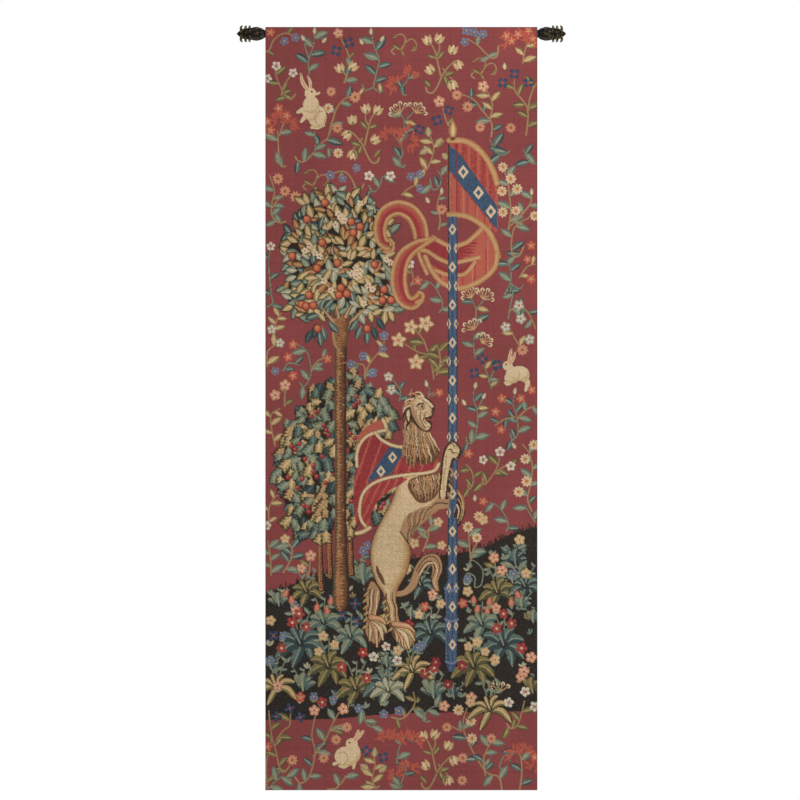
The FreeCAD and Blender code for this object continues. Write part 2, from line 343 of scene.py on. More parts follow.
def leaf(web, kind, x, y, direction, length, width=None, bend=0.0):
    dark, light, rib = LEAF_YARNS[kind]
    width = width or 0.46 * length
    lens(web, x, y, direction, length, width, dark, bend)
    lens(web, x, y, direction, 0.94 * length, 0.86 * width, light, bend, low=-1.0, high=-0.05)
    lens(web, x, y, direction, 0.86 * length, 0.5 * width, light, bend, low=0.3, high=1.0)
    lens(web, x, y, direction, 0.92 * length, 0.15 * width, rib, bend)


def stem(web, path, kind="tan", width=0.33):
    edge, heart = {"tan": ("brown", "tan"), "straw": ("olive", "tan"), "sage": ("deep_teal", "sage"),
                   "coral": ("crimson", "coral")}[kind]
    stroke(web, path, (width * 1.4, width), edge)
    stroke(web, path, (width, width * 0.6), heart)


def sprig(web, path, kind="straw", leaf_kind="teal", count=4, length=2.2, first=0.15, last=0.8):
    """A stem from its foot to its tip, with leaves on either side in turn."""
    curve = smooth(points(path))
    for i in range(count):
        t = first + (last - first) * i / max(count - 1, 1)
        k = min(int(t * (len(curve) - 1)), len(curve) - 2)
        run = curve[k + 1] - curve[k]
        along = math.degrees(math.atan2(-run[1], run[0]))
        side = 52 if i % 2 else -52
        size = 1.3 * length * web.random.uniform(0.85, 1.15)
        shown = "sage" if leaf_kind == "teal" and web.random.random() < 0.4 else leaf_kind
        leaf(web, shown, *curve[k], along + side, size, bend=-0.14 if i % 2 else 0.14)
    stem(web, path, kind)


def tulip_plant(web, x, y, side):
    """The large tulip spray that is woven three times; (x, y) is its foot and side mirrors it."""
    def at(text):
        return points(text) * (side, -1) + (x, y)

    def turned(direction):
        return direction if side > 0 else 180 - direction

    stem(web, at("-1.2,1.2 -0.8,0.2 0.4,0 1.6,1.6 3.2,5 5.6,7.6 6.8,8"), "straw", 0.4)
    stem(web, at("2.4,4.4 1.6,8 1,10.5 -0.2,12.6"), "straw", 0.36)
    stem(web, at("1.4,9.2 2.2,11 2,12.8"), "straw", 0.32)
    stem(web, at("3,6 4.4,4.4 5.6,3"), "straw", 0.3)
    for (px, py), direction in zip(at("-0.9,13.2 2.1,13.6 5.5,10.8 -0.3,5.8 6.9,6.9 5.5,1.9"),
                                   (115, 65, 80, 140, -50, -70)):
        tulip(web, px, py, turned(direction))
    for (px, py), direction, length in zip(at("1.4,8.6 1.7,8.4 3.2,4.2 3.2,4.4 0,1.4 4.2,1"),
                                           (160, 50, 20, -70, 130, 80), (2.6, 2.8, 3.0, 2.8, 2.6, 2.4)):
        leaf(web, "olive", px, py, turned(direction), length)


def curled_tendril(web, x, y, side=1):
    """A looped green tendril with small leaves; (x, y) is its middle."""
    def at(text):
        return points(text) * (side, 1) + (x, y)

    stem(web, at("-1.8,2.4 -2.6,1.6 -1.6,0.8 -0.2,1.2 0.6,0 0.9,-1.6 0,-2.6 -1.4,-2.4"), "straw", 0.3)
    stem(web, at("0,1 1.2,-0.8 2.6,-1.4 3.6,-0.4 3.4,1.2 2.4,1.4"), "straw", 0.28)
    for (px, py), direction, length in zip(at("-0.4,1.2 -0.2,1.4 0.2,0.4 -1.2,-2.2 2.8,1.4"),
                                           (150, -60, 40, 200, 60), (2.4, 1.8, 1.4, 1.4, 1.4)):
        leaf(web, "olive", px, py, direction if side > 0 else 180 - direction, length)


def rosette(web, x, y, r, kind, count, tilt, droop):
    """A ground plant: long leaves that rise from its crown and arch over."""
    if droop:
        reaches = ((112, 0.7), (64, 0.75), (160, 0.85), (20, 0.9), (204, 1.1), (-28, 1.1), (246, 1.0),
                   (-62, 1.0))
        count += 1
    else:
        reaches = ((90, 1.1), (64, 1.0), (118, 1.05), (38, 0.9), (146, 0.95))
    for direction, share in reaches[:count][::-1]:
        length = r * share * web.random.uniform(0.9, 1.12)
        ground_leaf(web, kind, x, y, direction + tilt, length, (0.3 if kind == "cream" else 0.4) * length)


def ground_leaf(web, kind, x, y, direction, length, width):
    """A long lobed leaf that arches over: dark below, lit along its upper side, with a pale rib."""
    dark, light, rib = LEAF_YARNS[kind]
    a = math.radians(direction)
    tip = np.array([x + length * math.cos(a), y - length * math.sin(a)])
    crown = np.array([x, y])
    middle = (crown + tip) / 2 + (-0.1 * length * math.sin(a), -0.2 * length)
    path = smooth([crown, middle, tip], steps=7)
    body = np.array((0.25, 0.7, 1.0, 0.85, 0.12)) * width
    stroke(web, path, body + 0.4, "night")
    stroke(web, path, body, dark)
    if kind != "cream":
        for k in (4, 6, 8, 10):
            for side, yarn in ((-1, light), (1, dark)):
                lobe = side * 0.34 * width * math.sin(math.pi * k / 13)
                lx, ly = path[k] + lobe * np.array([abs(math.sin(a)), abs(math.cos(a))])
                disc(web, lx, ly, 0.27 * width, 0.27 * width, yarn)
    stroke(web, path - (0.05 * width, 0.16 * width), body * 0.56, light)
    stroke(web, path, (0.18, 0.14, 0.08), rib)


def holly_leaf(web, x, y, direction, length, dark, light, rib):
    """A prickly leaf: a lens with three pairs of thorns."""
    a = math.radians(direction)
    width = 0.5 * length
    for grow, yarn in ((1.2, "night"), (1.0, dark), (0.7, light)):
        lens(web, x, y, direction, length * (0.5 + grow / 2), width * grow, yarn)
        for t in (0.25, 0.5, 0.74):
            bx, by = x + t * length * math.cos(a), y - t * length * math.sin(a)
            for side in (-1, 1):
                lens(web, bx, by, direction + side * 58, 0.46 * length * grow, 0.24 * length * grow, yarn)
    lens(web, x, y, direction, length * 0.9, 0.1 * length, rib)


# Grounds

GRASS_EDGE = "0,141.7 8,139 14,137 21,136 36,133 48,131.6 55.5,129.8 61,127 68,124.9"
MOUND_FOOT = "68,171.1 43.5,171.4 28,172 17,173 0,173.3"


def grounds(web):
    """The rose ground, and the dark flowered mound with its edge of grass blades."""
    top = smooth(points(GRASS_EDGE), steps=40)
    outline = np.vstack([top, smooth(points(MOUND_FOOT))])
    area(web, outline, "night", rounded=False)
    for x, y in top[::3]:
        lens(web, x, y + 0.5, web.random.uniform(60, 125), web.random.uniform(1.0, 2.2), 0.34, "night")
    cells, x, y = web.window(0, 124, 68, 174)
    fleck = (web.random.random(web.yarn[cells].shape) < 0.12) & (web.yarn[cells] == YARN_INDEX["night"])
    web.set(cells, fleck, "night_blue")


def shade(web, cells, mask, yarn, amount):
    """Mixes a yarn into a shape by single weave cells."""
    chance = web.random.random(mask.shape) < amount
    web.set(cells, mask & chance, yarn)


def streaks(web, cells, mask, yarn, every, width, slant=0.0):
    """Fine stripes of a yarn down a shape, as a tapestry shades a plain colour."""
    x = web.x[cells[1]][None, :] + slant * web.y[cells[0]][:, None]
    wobble = web.random.normal(0, 0.12, mask.shape[0])[:, None]
    web.set(cells, mask & (np.mod(x + wobble, every) < width), yarn)


# Tree

ORANGES = """
14.9,43.9 10.4,48.1 21.5,48.7 23.7,49.9 22,51.4 14.2,53.9 6.7,57.2 18,59 12.9,60.3 27.3,59.4 18.9,65.2
20.4,66.7 18.4,67 10.9,67 9.1,69.4 10.2,69.8 12,69.6 29.7,65.6 29.3,68.3 31.5,68.3 13.1,75.4 25.5,75.4
"""
BLOSSOM = """
23.7,44.1 18.2,46.7 17.5,49.4 18.8,47.6 9.8,55.9 12.4,56.5 11,54.6 30.2,58.1 14.6,63.4 22.6,60.3 23.5,62.1
21.6,61.6 16.4,65.8 25.7,64.7 24.6,69.2
"""
CROWN = """
7.3,45.2 12.9,41 16.9,40.4 20.8,41 24,42.3 27.9,45 31.6,47.6 32.6,51 31.4,54.5 31,59 31.6,63.8 33.2,70
30.5,73 25,72.8 21,71.5 16,71.5 11,74 8.9,73.2 4.9,69.2 4,64.7 5.6,61 4.2,57 5.3,51.4 8,48
"""


def foliage(web, outline, draw, spacing, hollow=1.1):
    """Covers an area with leaves row by row; the dark ground behind them stays inside its edge."""
    shape = smooth(points(outline), closed=True)
    centre = shape.mean(axis=0)
    away = shape - centre
    area(web, centre + away * (1 - hollow / np.hypot(*away.T))[:, None], "night", rounded=False)
    x0, y0, x1, y1 = *shape.min(0), *shape.max(0)
    for y in np.arange(y0, y1, spacing):
        for x in np.arange(x0, x1, spacing):
            px = x + web.random.uniform(-0.45, 0.45) * spacing
            py = y + web.random.uniform(-0.45, 0.45) * spacing
            if inside(shape, np.array([px]), np.array([py]))[0]:
                draw(web, px, py)


def round_fruit(web, places, ball):
    """Fruit as discs on each other that move up to the left, towards the light."""
    for x, y in points(places):
        for left, up, rx, ry, yarn in ball:
            disc(web, x - left, y - up, rx, ry, yarn)


def crown_leaf(web, x, y):
    """A laurel leaf that points away from the heart of the crown, pale inside and blue-green outside."""
    away = math.degrees(math.atan2(60 - y, x - 18.5))
    far = math.hypot(x - 20, y - 60) / 17
    pale = web.random.random() > 0.6 * far
    kinds = ("cream", "cream", "ochre", "mist") if pale else ("teal", "sage", "cream", "sage")
    kind = kinds[web.random.integers(4)]
    length = web.random.uniform(2.9, 4.0)
    direction = away + web.random.normal(0, 45)
    a = math.radians(direction)
    fx, fy = x - 0.4 * length * math.cos(a), y + 0.4 * length * math.sin(a)
    bend = web.random.uniform(-0.12, 0.12)
    lens(web, fx, fy, direction, length * 1.06, 0.56 * length, "night", bend)
    leaf(web, kind, fx, fy, direction, length, 0.48 * length, bend)


def tree(web):
    cells, mask = area(web, "17.0,72 14.2,69.5 16.4,70.4 18.5,69 21,70 25.5,69.8 21.6,73.5 20.6,76 20.2,90 "
                            "20.2,110 20.4,130 20.9,144.4 17.1,144.6 17.3,130 "
                            "17.4,110 17.2,90 17.2,76", "ochre")
    hachures(web, cells, mask,
             ("brown", "right", 2.9, 0.9), ("tan", "left", 1.3, 0.9), ("umber", "right", 1.0, 0.7),
             ("brown", "left", 1.1, 0.8), ("umber", "right", 0.55, 0.5), ("moss", "left", 0.4, 0.6))
    for y in np.arange(76, 144, 0.8):
        x = web.random.uniform(17.8, 19.4)
        lens(web, x, y, web.random.uniform(-12, 12), web.random.uniform(0.6, 1.2), 0.24,
             "brown" if web.random.random() < 0.6 else "straw")
    foliage(web, CROWN, crown_leaf, 1.7)
    for path in ("18.5,77 16.8,73.5 14.4,70.6", "19,77 18.4,73 17.6,69.6", "19.4,77 20,72.6 21.5,69.6",
                 "19.8,77 21.6,73.6 24.6,70.6"):
        stroke(web, path, (2.0, 0.5), "umber")
        stroke(web, path, (1.5, 0.3), "tan")
        stroke(web, path, (0.5, 0.1), "straw")
    cells, mask = area(web, "16.6,75 17.2,73 20.4,72.8 20.9,75 20.2,80 17.3,80", "ochre")
    shade(web, cells, mask, "brown", 0.35)
    hachures(web, cells, mask, ("brown", "right", 1.6, 0.6), ("tan", "left", 1.0, 0.7))
    for x, y in points("12.6,74 14,74.6 11.6,75.4 13.4,76 15.6,73.6"):
        leaf(web, "deep" if x < 13 else "teal", x, y, 270 + (x - 13) * 16, 4.2, 1.8)
    for x, y in points("24,74.6 25.4,75.6 26.6,74.6 23.2,73 27.6,72.6"):
        leaf(web, "deep" if x > 26 else "teal", x, y, 270 + (x - 25.4) * 16, 4.0, 1.8)
    for i, (x, y) in enumerate(points(BLOSSOM)):
        for dx, dy in ((0, 0), (1.1, 0.8))[:1 + i % 2]:
            ragged_flower(web, x + dx, y + dy, 0.95, web.random.uniform(0, 72), "cream", "ivory", "red")
    ball = ((0, 0, 1.1, 1.12, "umber"), (0, 0, 0.98, 1.0, "crimson"), (0.06, 0.06, 0.88, 0.9, "coral"),
            (0.16, 0.18, 0.6, 0.6, "orange"), (0.28, 0.34, 0.24, 0.22, "salmon"))
    round_fruit(web, ORANGES, ball)


HOLLY_LEFT = """
11,90 15,88.6 17.2,89 17.2,127 14.5,127.4 12,128.6 9,127.6 7.4,125.5 5.2,123.5 4.4,119.8 2.6,116.6 1.8,112.4
3.6,108.6 2.7,106.2 4.2,102.6 4.4,99.5 8.2,97.2 7.6,94.8 10.4,93.2
"""
HOLLY_RIGHT = """
20.3,88.2 24,88.6 28.4,91.1 31,94.5 32.6,99 31,102.6 27,103.4 23.2,110 22.6,119 22.4,123.4 20.3,125
"""
HOLLY_LOW = "25.4,118.6 29.5,114.5 33.5,113.2 31.5,117.6 29.6,121.6 27.2,124.6 25.4,123"
BERRIES = """
11.5,97.4 12.6,96.2 7.4,105.6 8.5,104.2 6.5,104.8 9.6,119.6 10.8,121.2 14.6,99.6 15.8,102 15.2,100.8 5.6,112.6
9.2,113 12,111.2 12.8,112.4 12,109.6 15,114 22.2,94.6 23.4,93.8 22.8,92.4 21.2,101.6 22.4,102.8 21.6,118.6
29.6,119.2 28.9,120.3 8,115.2 9.9,108 14.2,107.4 10.6,120
"""


def holly_piece(web, x, y):
    tones = (
        ("deep_teal", "teal", "sage"), ("teal", "sage", "mist"), ("olive", "straw", "cream"),
        ("brown", "straw", "tan"), ("moss", "sage", "mist"), ("night_blue", "deep_teal", "teal"),
    )
    tone = tones[web.random.choice(6, p=(0.13, 0.21, 0.27, 0.18, 0.13, 0.08))]
    direction = 262 + web.random.normal(0, 34)
    length = web.random.uniform(2.5, 3.8)
    a = math.radians(direction)
    x -= 0.4 * length * math.cos(a)
    y += 0.4 * length * math.sin(a)
    holly_leaf(web, x, y, direction, length, *tone)


def holly(web):
    for x, y0, y1 in ((13.8, 122, 140.5), (16.1, 122, 137.4), (21.4, 121, 136.6)):
        stroke(web, f"{x},{y0} {x - 0.1},{(y0 + y1) / 2} {x + 0.2},{y1}", (1.1, 1.3, 1.6), "umber")
        stroke(web, f"{x - 0.1},{y0} {x - 0.2},{(y0 + y1) / 2} {x},{y1}", (0.6, 0.8, 0.9), "ochre")
        for y in np.arange(y0, y1, 0.55):
            lens(web, x - 0.4, y, 0, 0.9, 0.26, "umber")
    for outline in (HOLLY_LEFT, HOLLY_RIGHT, HOLLY_LOW):
        foliage(web, outline, holly_piece, 1.95)
    ball = ((0, 0, 0.62, 0.62, "crimson"), (0.1, 0.1, 0.42, 0.42, "red"), (0.15, 0.2, 0.16, 0.16, "salmon"))
    round_fruit(web, BERRIES, ball)


# Pole, pennant and streamers

def lozenge(web, x, y, half_width, half_height, yarn):
    corners = [(x - half_width, y), (x, y - half_height), (x + half_width, y), (x, y + half_height)]
    area(web, corners, yarn, rounded=False)


def badge(web, x, y, outer, inner):
    """A cream lozenge with a blue one inside it, each by its half width and half height."""
    lozenge(web, x, y, *outer, "cream")
    lozenge(web, x, y, *inner, "blue")


def pole(web):
    """A blue pole woven with pale lozenges: one whole, then two halves at its edges, in turn."""
    outline = ("45.7,47.3 45.7,90 45.6,125 45.4,138.6 44.8,140.4 44.9,142.6 45.3,146.6 44.9,148 45.1,158.4 "
               "45.8,161.2 47.1,161.2 47.8,158.4 48.2,148 47.9,146.6 48.2,142.6 48.3,140.4 48.1,138.6 48,125 "
               "47.9,90 47.9,47.3")
    cells, mask = area(web, outline, "navy", rounded=False)
    shade(web, cells, mask, "blue", 0.55)
    streaks(web, cells, mask, "sky", 1.1, 0.16)
    for i, y in enumerate(np.arange(50.6, 159, 4.72)):
        if i % 2 == 0:
            badge(web, 46.8, y, (0.98, 1.45), (0.42, 0.66))
        else:
            for x in (45.9, 47.7):
                badge(web, x, y, (0.56, 1.3), (0.22, 0.56))
    stroke(web, "44.9,140.4 46.6,140.9 48.3,140.4", 0.5, "sky")
    stroke(web, "44.9,148.1 46.6,148.6 48.2,148.1", 0.45, "sky")
    stroke(web, "45.1,158.6 46.5,159.2 47.8,158.6", 0.4, "sky")
    stroke(web, "45.75,51 45.75,120 45.5,139", 0.15, "night")
    stroke(web, "47.95,51 47.95,120 48.1,139", 0.15, "night")
    lens(web, 46.9, 27.9, 90, 4.9, 2.1, "ochre", full=0.8)
    lens(web, 46.9, 27.7, 90, 4.2, 1.3, "straw", full=0.8)
    lens(web, 46.9, 27.4, 90, 3.4, 0.5, "cream", full=0.8)
    disc(web, 46.9, 27.9, 0.6, 0.5, "brown")


def edged_band(web, path, width):
    """A gilt edge: ochre, gold and a pale thread side by side, with fine hatching across it."""
    curve = smooth(points(path) if isinstance(path, str) else path, steps=8)
    stroke(web, curve, width, "ochre")
    stroke(web, curve, width * 0.76, "gilt")
    stroke(web, curve, width * 0.26, "straw")
    for a, b in zip(curve, curve[1:]):
        run = b - a
        length = max(np.hypot(*run), 1e-6)
        normal = np.array([-run[1], run[0]]) / length
        for t in np.arange(0, 1, max(0.5 / max(length, 0.5), 0.05)):
            at = a + t * run
            stroke(web, [at - normal * width * 0.46, at - normal * width * 0.16], 0.08, "ochre")


def pennant(web):
    cells, mask = area(web, "45.8,28.4 49.4,28.9 52.2,30 55,32.6 57.4,36.6 58,40 58.1,50.6 55.8,50.2 "
                            "52.3,47.6 49,46.8 45.8,46.7", "red")
    shade(web, cells, mask, "flame", 0.3)
    streaks(web, cells, mask, "crimson", 1.7, 0.2)
    streaks(web, cells, mask, "flame", 2.3, 0.7)
    low = "45.8,36.6 45.8,46.7 52,47.2 56,50.4 57.4,50.4 52.4,44.4 48.6,39"
    cells, mask = area(web, low, "flame", rounded=False)
    streaks(web, cells, mask, "red", 2.1, 0.3)
    streaks(web, cells, mask, "salmon", 3.3, 0.18)
    band = "45.8,29.4 48.4,31.4 58.1,44.9 58.1,50.8 45.8,35.6"
    cells, mask = area(web, band, "navy", rounded=False)
    shade(web, cells, mask, "blue", 0.6)
    for x, y in points("49.5,36.2 53.3,41.4 56.4,46.1"):
        badge(web, x, y, (1.35, 1.75), (0.62, 0.85))
    stroke(web, "45.8,28.3 45.8,37 45.8,47", 0.3, "umber")
    stroke(web, "47.9,29.4 47.9,38 47.9,46.6", 0.2, "crimson")
    edged_band(web, "46,28.3 49.4,28.4 52.2,29.6 55,32.4 57,36 57.9,39", 1.5)


def streamer(web, path, widths):
    """A silk streamer along a path: flame on one side, hatched into red on the other, with gilt edges."""
    curve = smooth(points(path), steps=8)
    run = np.gradient(curve, axis=0)
    normal = np.column_stack([-run[:, 1], run[:, 0]]) / np.hypot(*run.T)[:, None]
    at = np.linspace(0, 1, len(curve))
    half = np.interp(at, np.linspace(0, 1, len(widths)), widths)[:, None] / 2
    area(web, np.vstack([curve + normal * half, (curve - normal * half)[::-1]]), "flame", rounded=False)
    area(web, np.vstack([curve, (curve - normal * half)[::-1]]), "red", rounded=False)
    for k in range(len(curve)):
        reach = half[k] * (0.9, 0.35, 0.6)[k % 3]
        stroke(web, [curve[k], curve[k] + normal[k] * reach], (0.24, 0.05), "red")
    inner = half - 0.45
    edged_band(web, (curve + normal * inner)[::4], 1.05)
    edged_band(web, (curve - normal * inner)[::4], 1.05)


def streamers(web):
    """The long tails of the pennant, from the ones behind to the ones in front."""
    cells, mask = area(web, "53.4,49.2 56.4,51.4 58.1,56 57,60.4 54,63.4 50,64.8 46,64.8 42.5,62.6 40.4,59 "
                            "42.6,60 46,61.4 50,61.4 53,58.6 54.6,54.6 54.4,51.6", "flame")
    streaks(web, cells, mask, "red", 2.9, 0.3)
    streaks(web, cells, mask, "salmon", 3.7, 0.2)
    cells, mask = area(web, "38.4,52.6 42,53.4 46,55 50,54.6 53,52.4 54.4,50.6 55.4,54 53.6,57.4 49.4,59 "
                            "45.4,58.8 41,56.4 37.4,55.6", "red")
    shade(web, cells, mask, "crimson", 0.35)
    hachure(web, cells, mask, "flame", "right", 5.5, 0.8)
    cells, mask = area(web, "42,58.6 46,60.8 49.6,60.2 52.6,57.6 51,61 48,62.8 44.6,62", "red")
    shade(web, cells, mask, "crimson", 0.5)
    for path, width in (
        ("41.9,52.6 46,54.6 50,54 53,51.6 54.2,50.2", 1.2),
        ("36.2,56.2 40,55.9 43.6,58 46.6,59 50,58.4 53.4,57.6", 1.1),
        ("42.6,60.8 46,62 49.8,61.7 52.4,58.8", 1.0),
        ("45.9,46.9 49.6,47.1 52.6,48.4 55.6,50.8 57.4,54 58.2,57.4", 1.4),
        ("58,56.6 57.4,60 54.8,62.8 51,64.8 47.6,65.3 44,63.8 41.4,60.6 40,57.4", 1.25),
        ("38.1,55.4 38.8,58 40.4,61.6", 1.0),
    ):
        edged_band(web, path, width)
    streamer(web, "38.9,52.4 38.4,49.6 36.6,46.6 33.2,45.2 29.9,46.8 28.7,50.4 29.4,53.6 31,54.4",
             (3.8, 4.0, 4.0, 3.8, 3.6, 3.2, 3.0, 2.8))
    edged_band(web, "29.8,56.2 31.6,56 32,54.4 31.2,53.2", 0.9)
    streamer(web, "42.4,52.9 38.4,54.4 35,57 33.5,61 33.5,65 34.8,68.2 36.9,69 38.6,67.6",
             (0.8, 2.6, 3.6, 4.0, 4.0, 3.6, 3.2, 2.6))
    edged_band(web, "37.8,68.8 39.2,68 39.3,66.8 38.4,66.3", 0.9)


# Lion

def strands(web, lines, yarns, width=0.32):
    """Locks of hair in turn from each yarn."""
    for i, line in enumerate(lines):
        stroke(web, line, (width, width * 1.1, width * 0.5), yarns[i % len(yarns)])


def comb(start, end, bow, count):
    """Wavy curves that run side by side from one line to another."""
    (ax, ay), (bx, by) = start
    (cx, cy), (dx, dy) = end
    lines = []
    for i in range(count):
        t = i / max(count - 1, 1)
        p = np.array([ax + (bx - ax) * t, ay + (by - ay) * t])
        q = np.array([cx + (dx - cx) * t, cy + (dy - cy) * t])
        run = q - p
        side = np.array([-run[1], run[0]]) * bow
        lines.append([p, p + run * 0.25 + side, p + run * 0.5 - side * 0.7, p + run * 0.75 + side * 0.6, q])
    return lines


def locks(web, start, end, bow, count, width=0.42):
    """Overlapping locks of hair of uneven length: each a dark edge, a coloured lock and a pale thread."""
    shades = ("tan", "straw", "gilt", "cream", "tan")
    for i, line in enumerate(comb(start, end, bow, count)):
        line = np.array(line) + web.random.normal(0, 0.07, (5, 2))
        line[-1] += (line[-1] - line[-2]) * web.random.uniform(-0.3, 0.7)
        stroke(web, line, (width, width * 1.5, width * 0.5), "umber" if i % 2 else "brown")
        stroke(web, line, (width * 0.7, width * 1.05, width * 0.2), shades[i % 5])
        if i % 2:
            stroke(web, line[1:], (0.1, 0.14, 0.1), "brown")


HAIR = ("straw", "umber", "cream", "brown", "tan", "cream", "umber")


def lion_body(web):
    stroke(web, "32.6,141.8 34.8,141.4 36.8,139.6 38.2,136 40,133.6 42.2,133.2 43,135.4 42.3,138.4 "
                "43.1,140.9",
           (1.6, 1.8, 2.2, 2.4, 2.8, 3.2, 2.8, 2.0, 1.2), "umber")
    stroke(web, "32.6,141.8 34.8,141.4 36.8,139.6 38.2,136 40,133.6 42.2,133.2 43,135.4 42.3,138.4 "
                "43,140.7",
           (1.2, 1.4, 1.8, 2.0, 2.4, 2.8, 2.4, 1.6, 0.8), "tan")
    strands(web, ["38.2,136.6 39.6,134.4 41.4,133.6 42.4,135.4 41.6,138.2 42.2,140.6",
                  "38.6,137 40.2,134.4 42.2,134 43,136 42.2,138.6 42.8,140.6",
                  "37.8,136 39.6,133.2 42,132.4 43.6,134.6 43,137.6"], ("umber", "cream", "umber"), 0.24)
    area(web, "26.4,137.6 28.4,139.6 29.4,142 28.6,146.4 28,148.6 30,149.6 30.3,151.4 29.4,153.4 27.9,155 "
              "25.4,153.4 24.4,150.6 25.1,146.6 24.4,143 25,140", "umber")
    area(web, "26.6,138.6 28.2,140.2 28.6,142.4 27.7,146.4 27.4,148.8 29.6,150 29.8,151.4 28.8,153.2 "
              "27.8,154.4 25.8,152.8 25,150.4 25.8,146.6 25.2,143 25.6,140.4", "tan")
    strands(web, comb([(25.8, 140.6), (28.2, 141)], [(25.2, 147.8), (27.3, 148.4)], 0.02, 6), HAIR, 0.26)
    foot(web, (26.4, 147.6), "30.1,149.4 30.3,151.4 29.4,153.2 27.9,155 26,153.4")
    tufts(web, "26.2,139.8 25.4,141.4 25.1,143 25.3,144.6 25.4,146.2 25.2,147.8 25,149.6")
    torso = ("33.6,113 37,112 43.4,112.6 44,116.4 43.6,119.4 41.7,122 39,124.4 37.2,126.4 36.2,128.6 "
             "36.5,131.5 36.1,134 35.3,136.8 34.1,138.8 33,141 32.6,143.6 32.9,146 33.7,149 35.6,150.1 "
             "37.2,151 37.3,153.4 35.7,155.8 33.7,154.6 31.9,152.4 31,149.2 30.1,145.4 29.5,141.9 "
             "27.9,139.4 26.6,136 26.1,132.8 26.3,129.6 27.5,126 29.7,121.9 31.9,117.8")
    area(web, torso, "umber")
    inner = smooth(points(torso), closed=True)
    centre = np.array([32.4, 132.0])
    inner = inner + (centre - inner) / np.hypot(*(centre - inner).T)[:, None] * 0.22
    cells, mask = area(web, inner, "cream", rounded=False)
    shade(web, cells, mask, "straw", 0.3)
    hachures(web, cells, mask,
             ("straw", "right", 3.4, 0.6), ("straw", "left", 1.5, 0.6), ("tan", "right", 1.5, 0.5),
             ("tan", "left", 0.6, 0.5), ("ochre", "right", 0.6, 0.4))
    cells, mask = area(web, "43.2,119.8 41.4,122 38.8,124.6 36.8,127 36,129 34.6,127.4 33.7,126.2 35,122.6 "
                            "38,120.6 41,119.6", "tan")
    for i, line in enumerate(comb([(42.8, 119.6), (36, 121.6)], [(38.4, 124.4), (35.6, 128.6)], 0.04, 13)):
        stroke(web, line, 0.16, ("umber", "straw", "brown")[i % 3])
    stroke(web, "33.7,126.2 34.6,127.4 35.8,129.2", 0.3, "umber")
    area(web, "27.9,134.6 28.6,136 29.6,138 29.9,139.6 29,138.8 28,137 27.6,135.6", "brown")
    strands(web, comb([(30.2, 141.6), (32.2, 141.4)], [(31.4, 149), (33.2, 149)], 0.03, 6),
            ("umber", "straw", "cream", "tan"), 0.24)
    stroke(web, "29.7,142.4 30.3,146 31.2,149.4 32.2,152.4", (0.5, 0.7, 0.6), "brown")
    foot(web, (32.2, 149.2), "37.3,151.2 37.3,153.4 36,155.4 34.4,155 32.9,153.6")
    tufts(web, "29.9,143.4 30.2,145 30.6,146.8 31,148.4 31.5,150.2")


def foot(web, ankle, toes):
    """A paw of long curved toes, each outlined and lit along its upper side."""
    tones = ("straw", "gilt", "cream", "straw", "gilt")
    for (x, y), tone in zip(points(toes)[::-1], tones):
        middle = (ankle[0] + 0.62 * (x - ankle[0]) + 0.25, ankle[1] + 0.5 * (y - ankle[1]) - 0.35)
        lit = [(ankle[0] + 0.4, ankle[1]), (middle[0] + 0.1, middle[1] - 0.1), (x, y)]
        stroke(web, [ankle, middle, (x, y)], (1.5, 1.5, 0.6), "umber")
        stroke(web, [ankle, middle, (x, y)], (1.25, 1.15, 0.3), tone)
        stroke(web, lit, (0.1, 0.24, 0.1), "cream")


def tufts(web, places):
    """Short pointed locks down the back of a leg."""
    for x, y in points(places):
        lens(web, x + 0.5, y - 0.2, 222, 2.1, 0.85, "umber")
        lens(web, x + 0.5, y - 0.2, 222, 1.8, 0.5, "straw")


def cape(web):
    cells, mask = area(web, "24.4,116.6 27,114.4 31,113.2 35.4,112.8 33.8,114.4 30.6,116.2 27.6,119.4 "
                            "26.2,122.6 26,125 24.4,123.8 23.6,121", "red")
    streaks(web, cells, mask, "flame", 1.9, 0.5, 0.5)
    cells, mask = area(web, "22.8,109.8 22.1,113 22,117 22.2,121.4 23,124.6 23.8,121 24,117.6 25.6,114.8 "
                            "28,112.8 31.2,111.8 37.2,111.4 42.6,110.4 43.6,108.4 40,107 36.8,107.6 "
                            "35.2,105 32.4,104.6 29.7,103.4 27.6,101.2 24.6,103.4 23.4,106.6", "red")
    shade(web, cells, mask, "crimson", 0.35)
    streaks(web, cells, mask, "flame", 3.1, 0.5, 0.35)
    area(web, "23.2,102.2 25.7,99.6 28.6,98.3 29.6,98.3 30.2,100.4 27.6,101.2 25,102.4 23.6,104.4", "flame")
    band = "31,105 34.3,105.5 34.4,106.8 31.3,111.8 28,112.6 25.6,114 25.9,112.6"
    cells, mask = area(web, band, "navy", rounded=False)
    shade(web, cells, mask, "blue", 0.5)
    for x, y in points("31.8,107.6 28.9,111.1"):
        badge(web, x, y, (1.15, 1.5), (0.5, 0.7))
    for path, width in (
        ("29.4,98.2 30,99.4 30.3,100.9", 1.2),
        ("30,100.8 27.4,101.4 25,102.6 23.4,104.8 22.8,107.2 22.9,109.8", 1.0),
        ("27.5,101.4 28.8,103 30.8,104.2 32.6,104.8 34.7,105.1", 1.0),
        ("43.4,109.2 42.4,110.8 40,111.5 37,111.8 33.4,112.2 30,112.9 27,114.1 24.9,115.9 23.9,118 23.5,121 "
         "24,123.4 25.2,125", 0.95),
        ("22.8,126.6 24.4,126.2 26.1,125.2", 1.2),
    ):
        stroke(web, path, width, "brown")
        stroke(web, path, width * 0.8, "straw")
        stroke(web, path, width * 0.5, "cream")


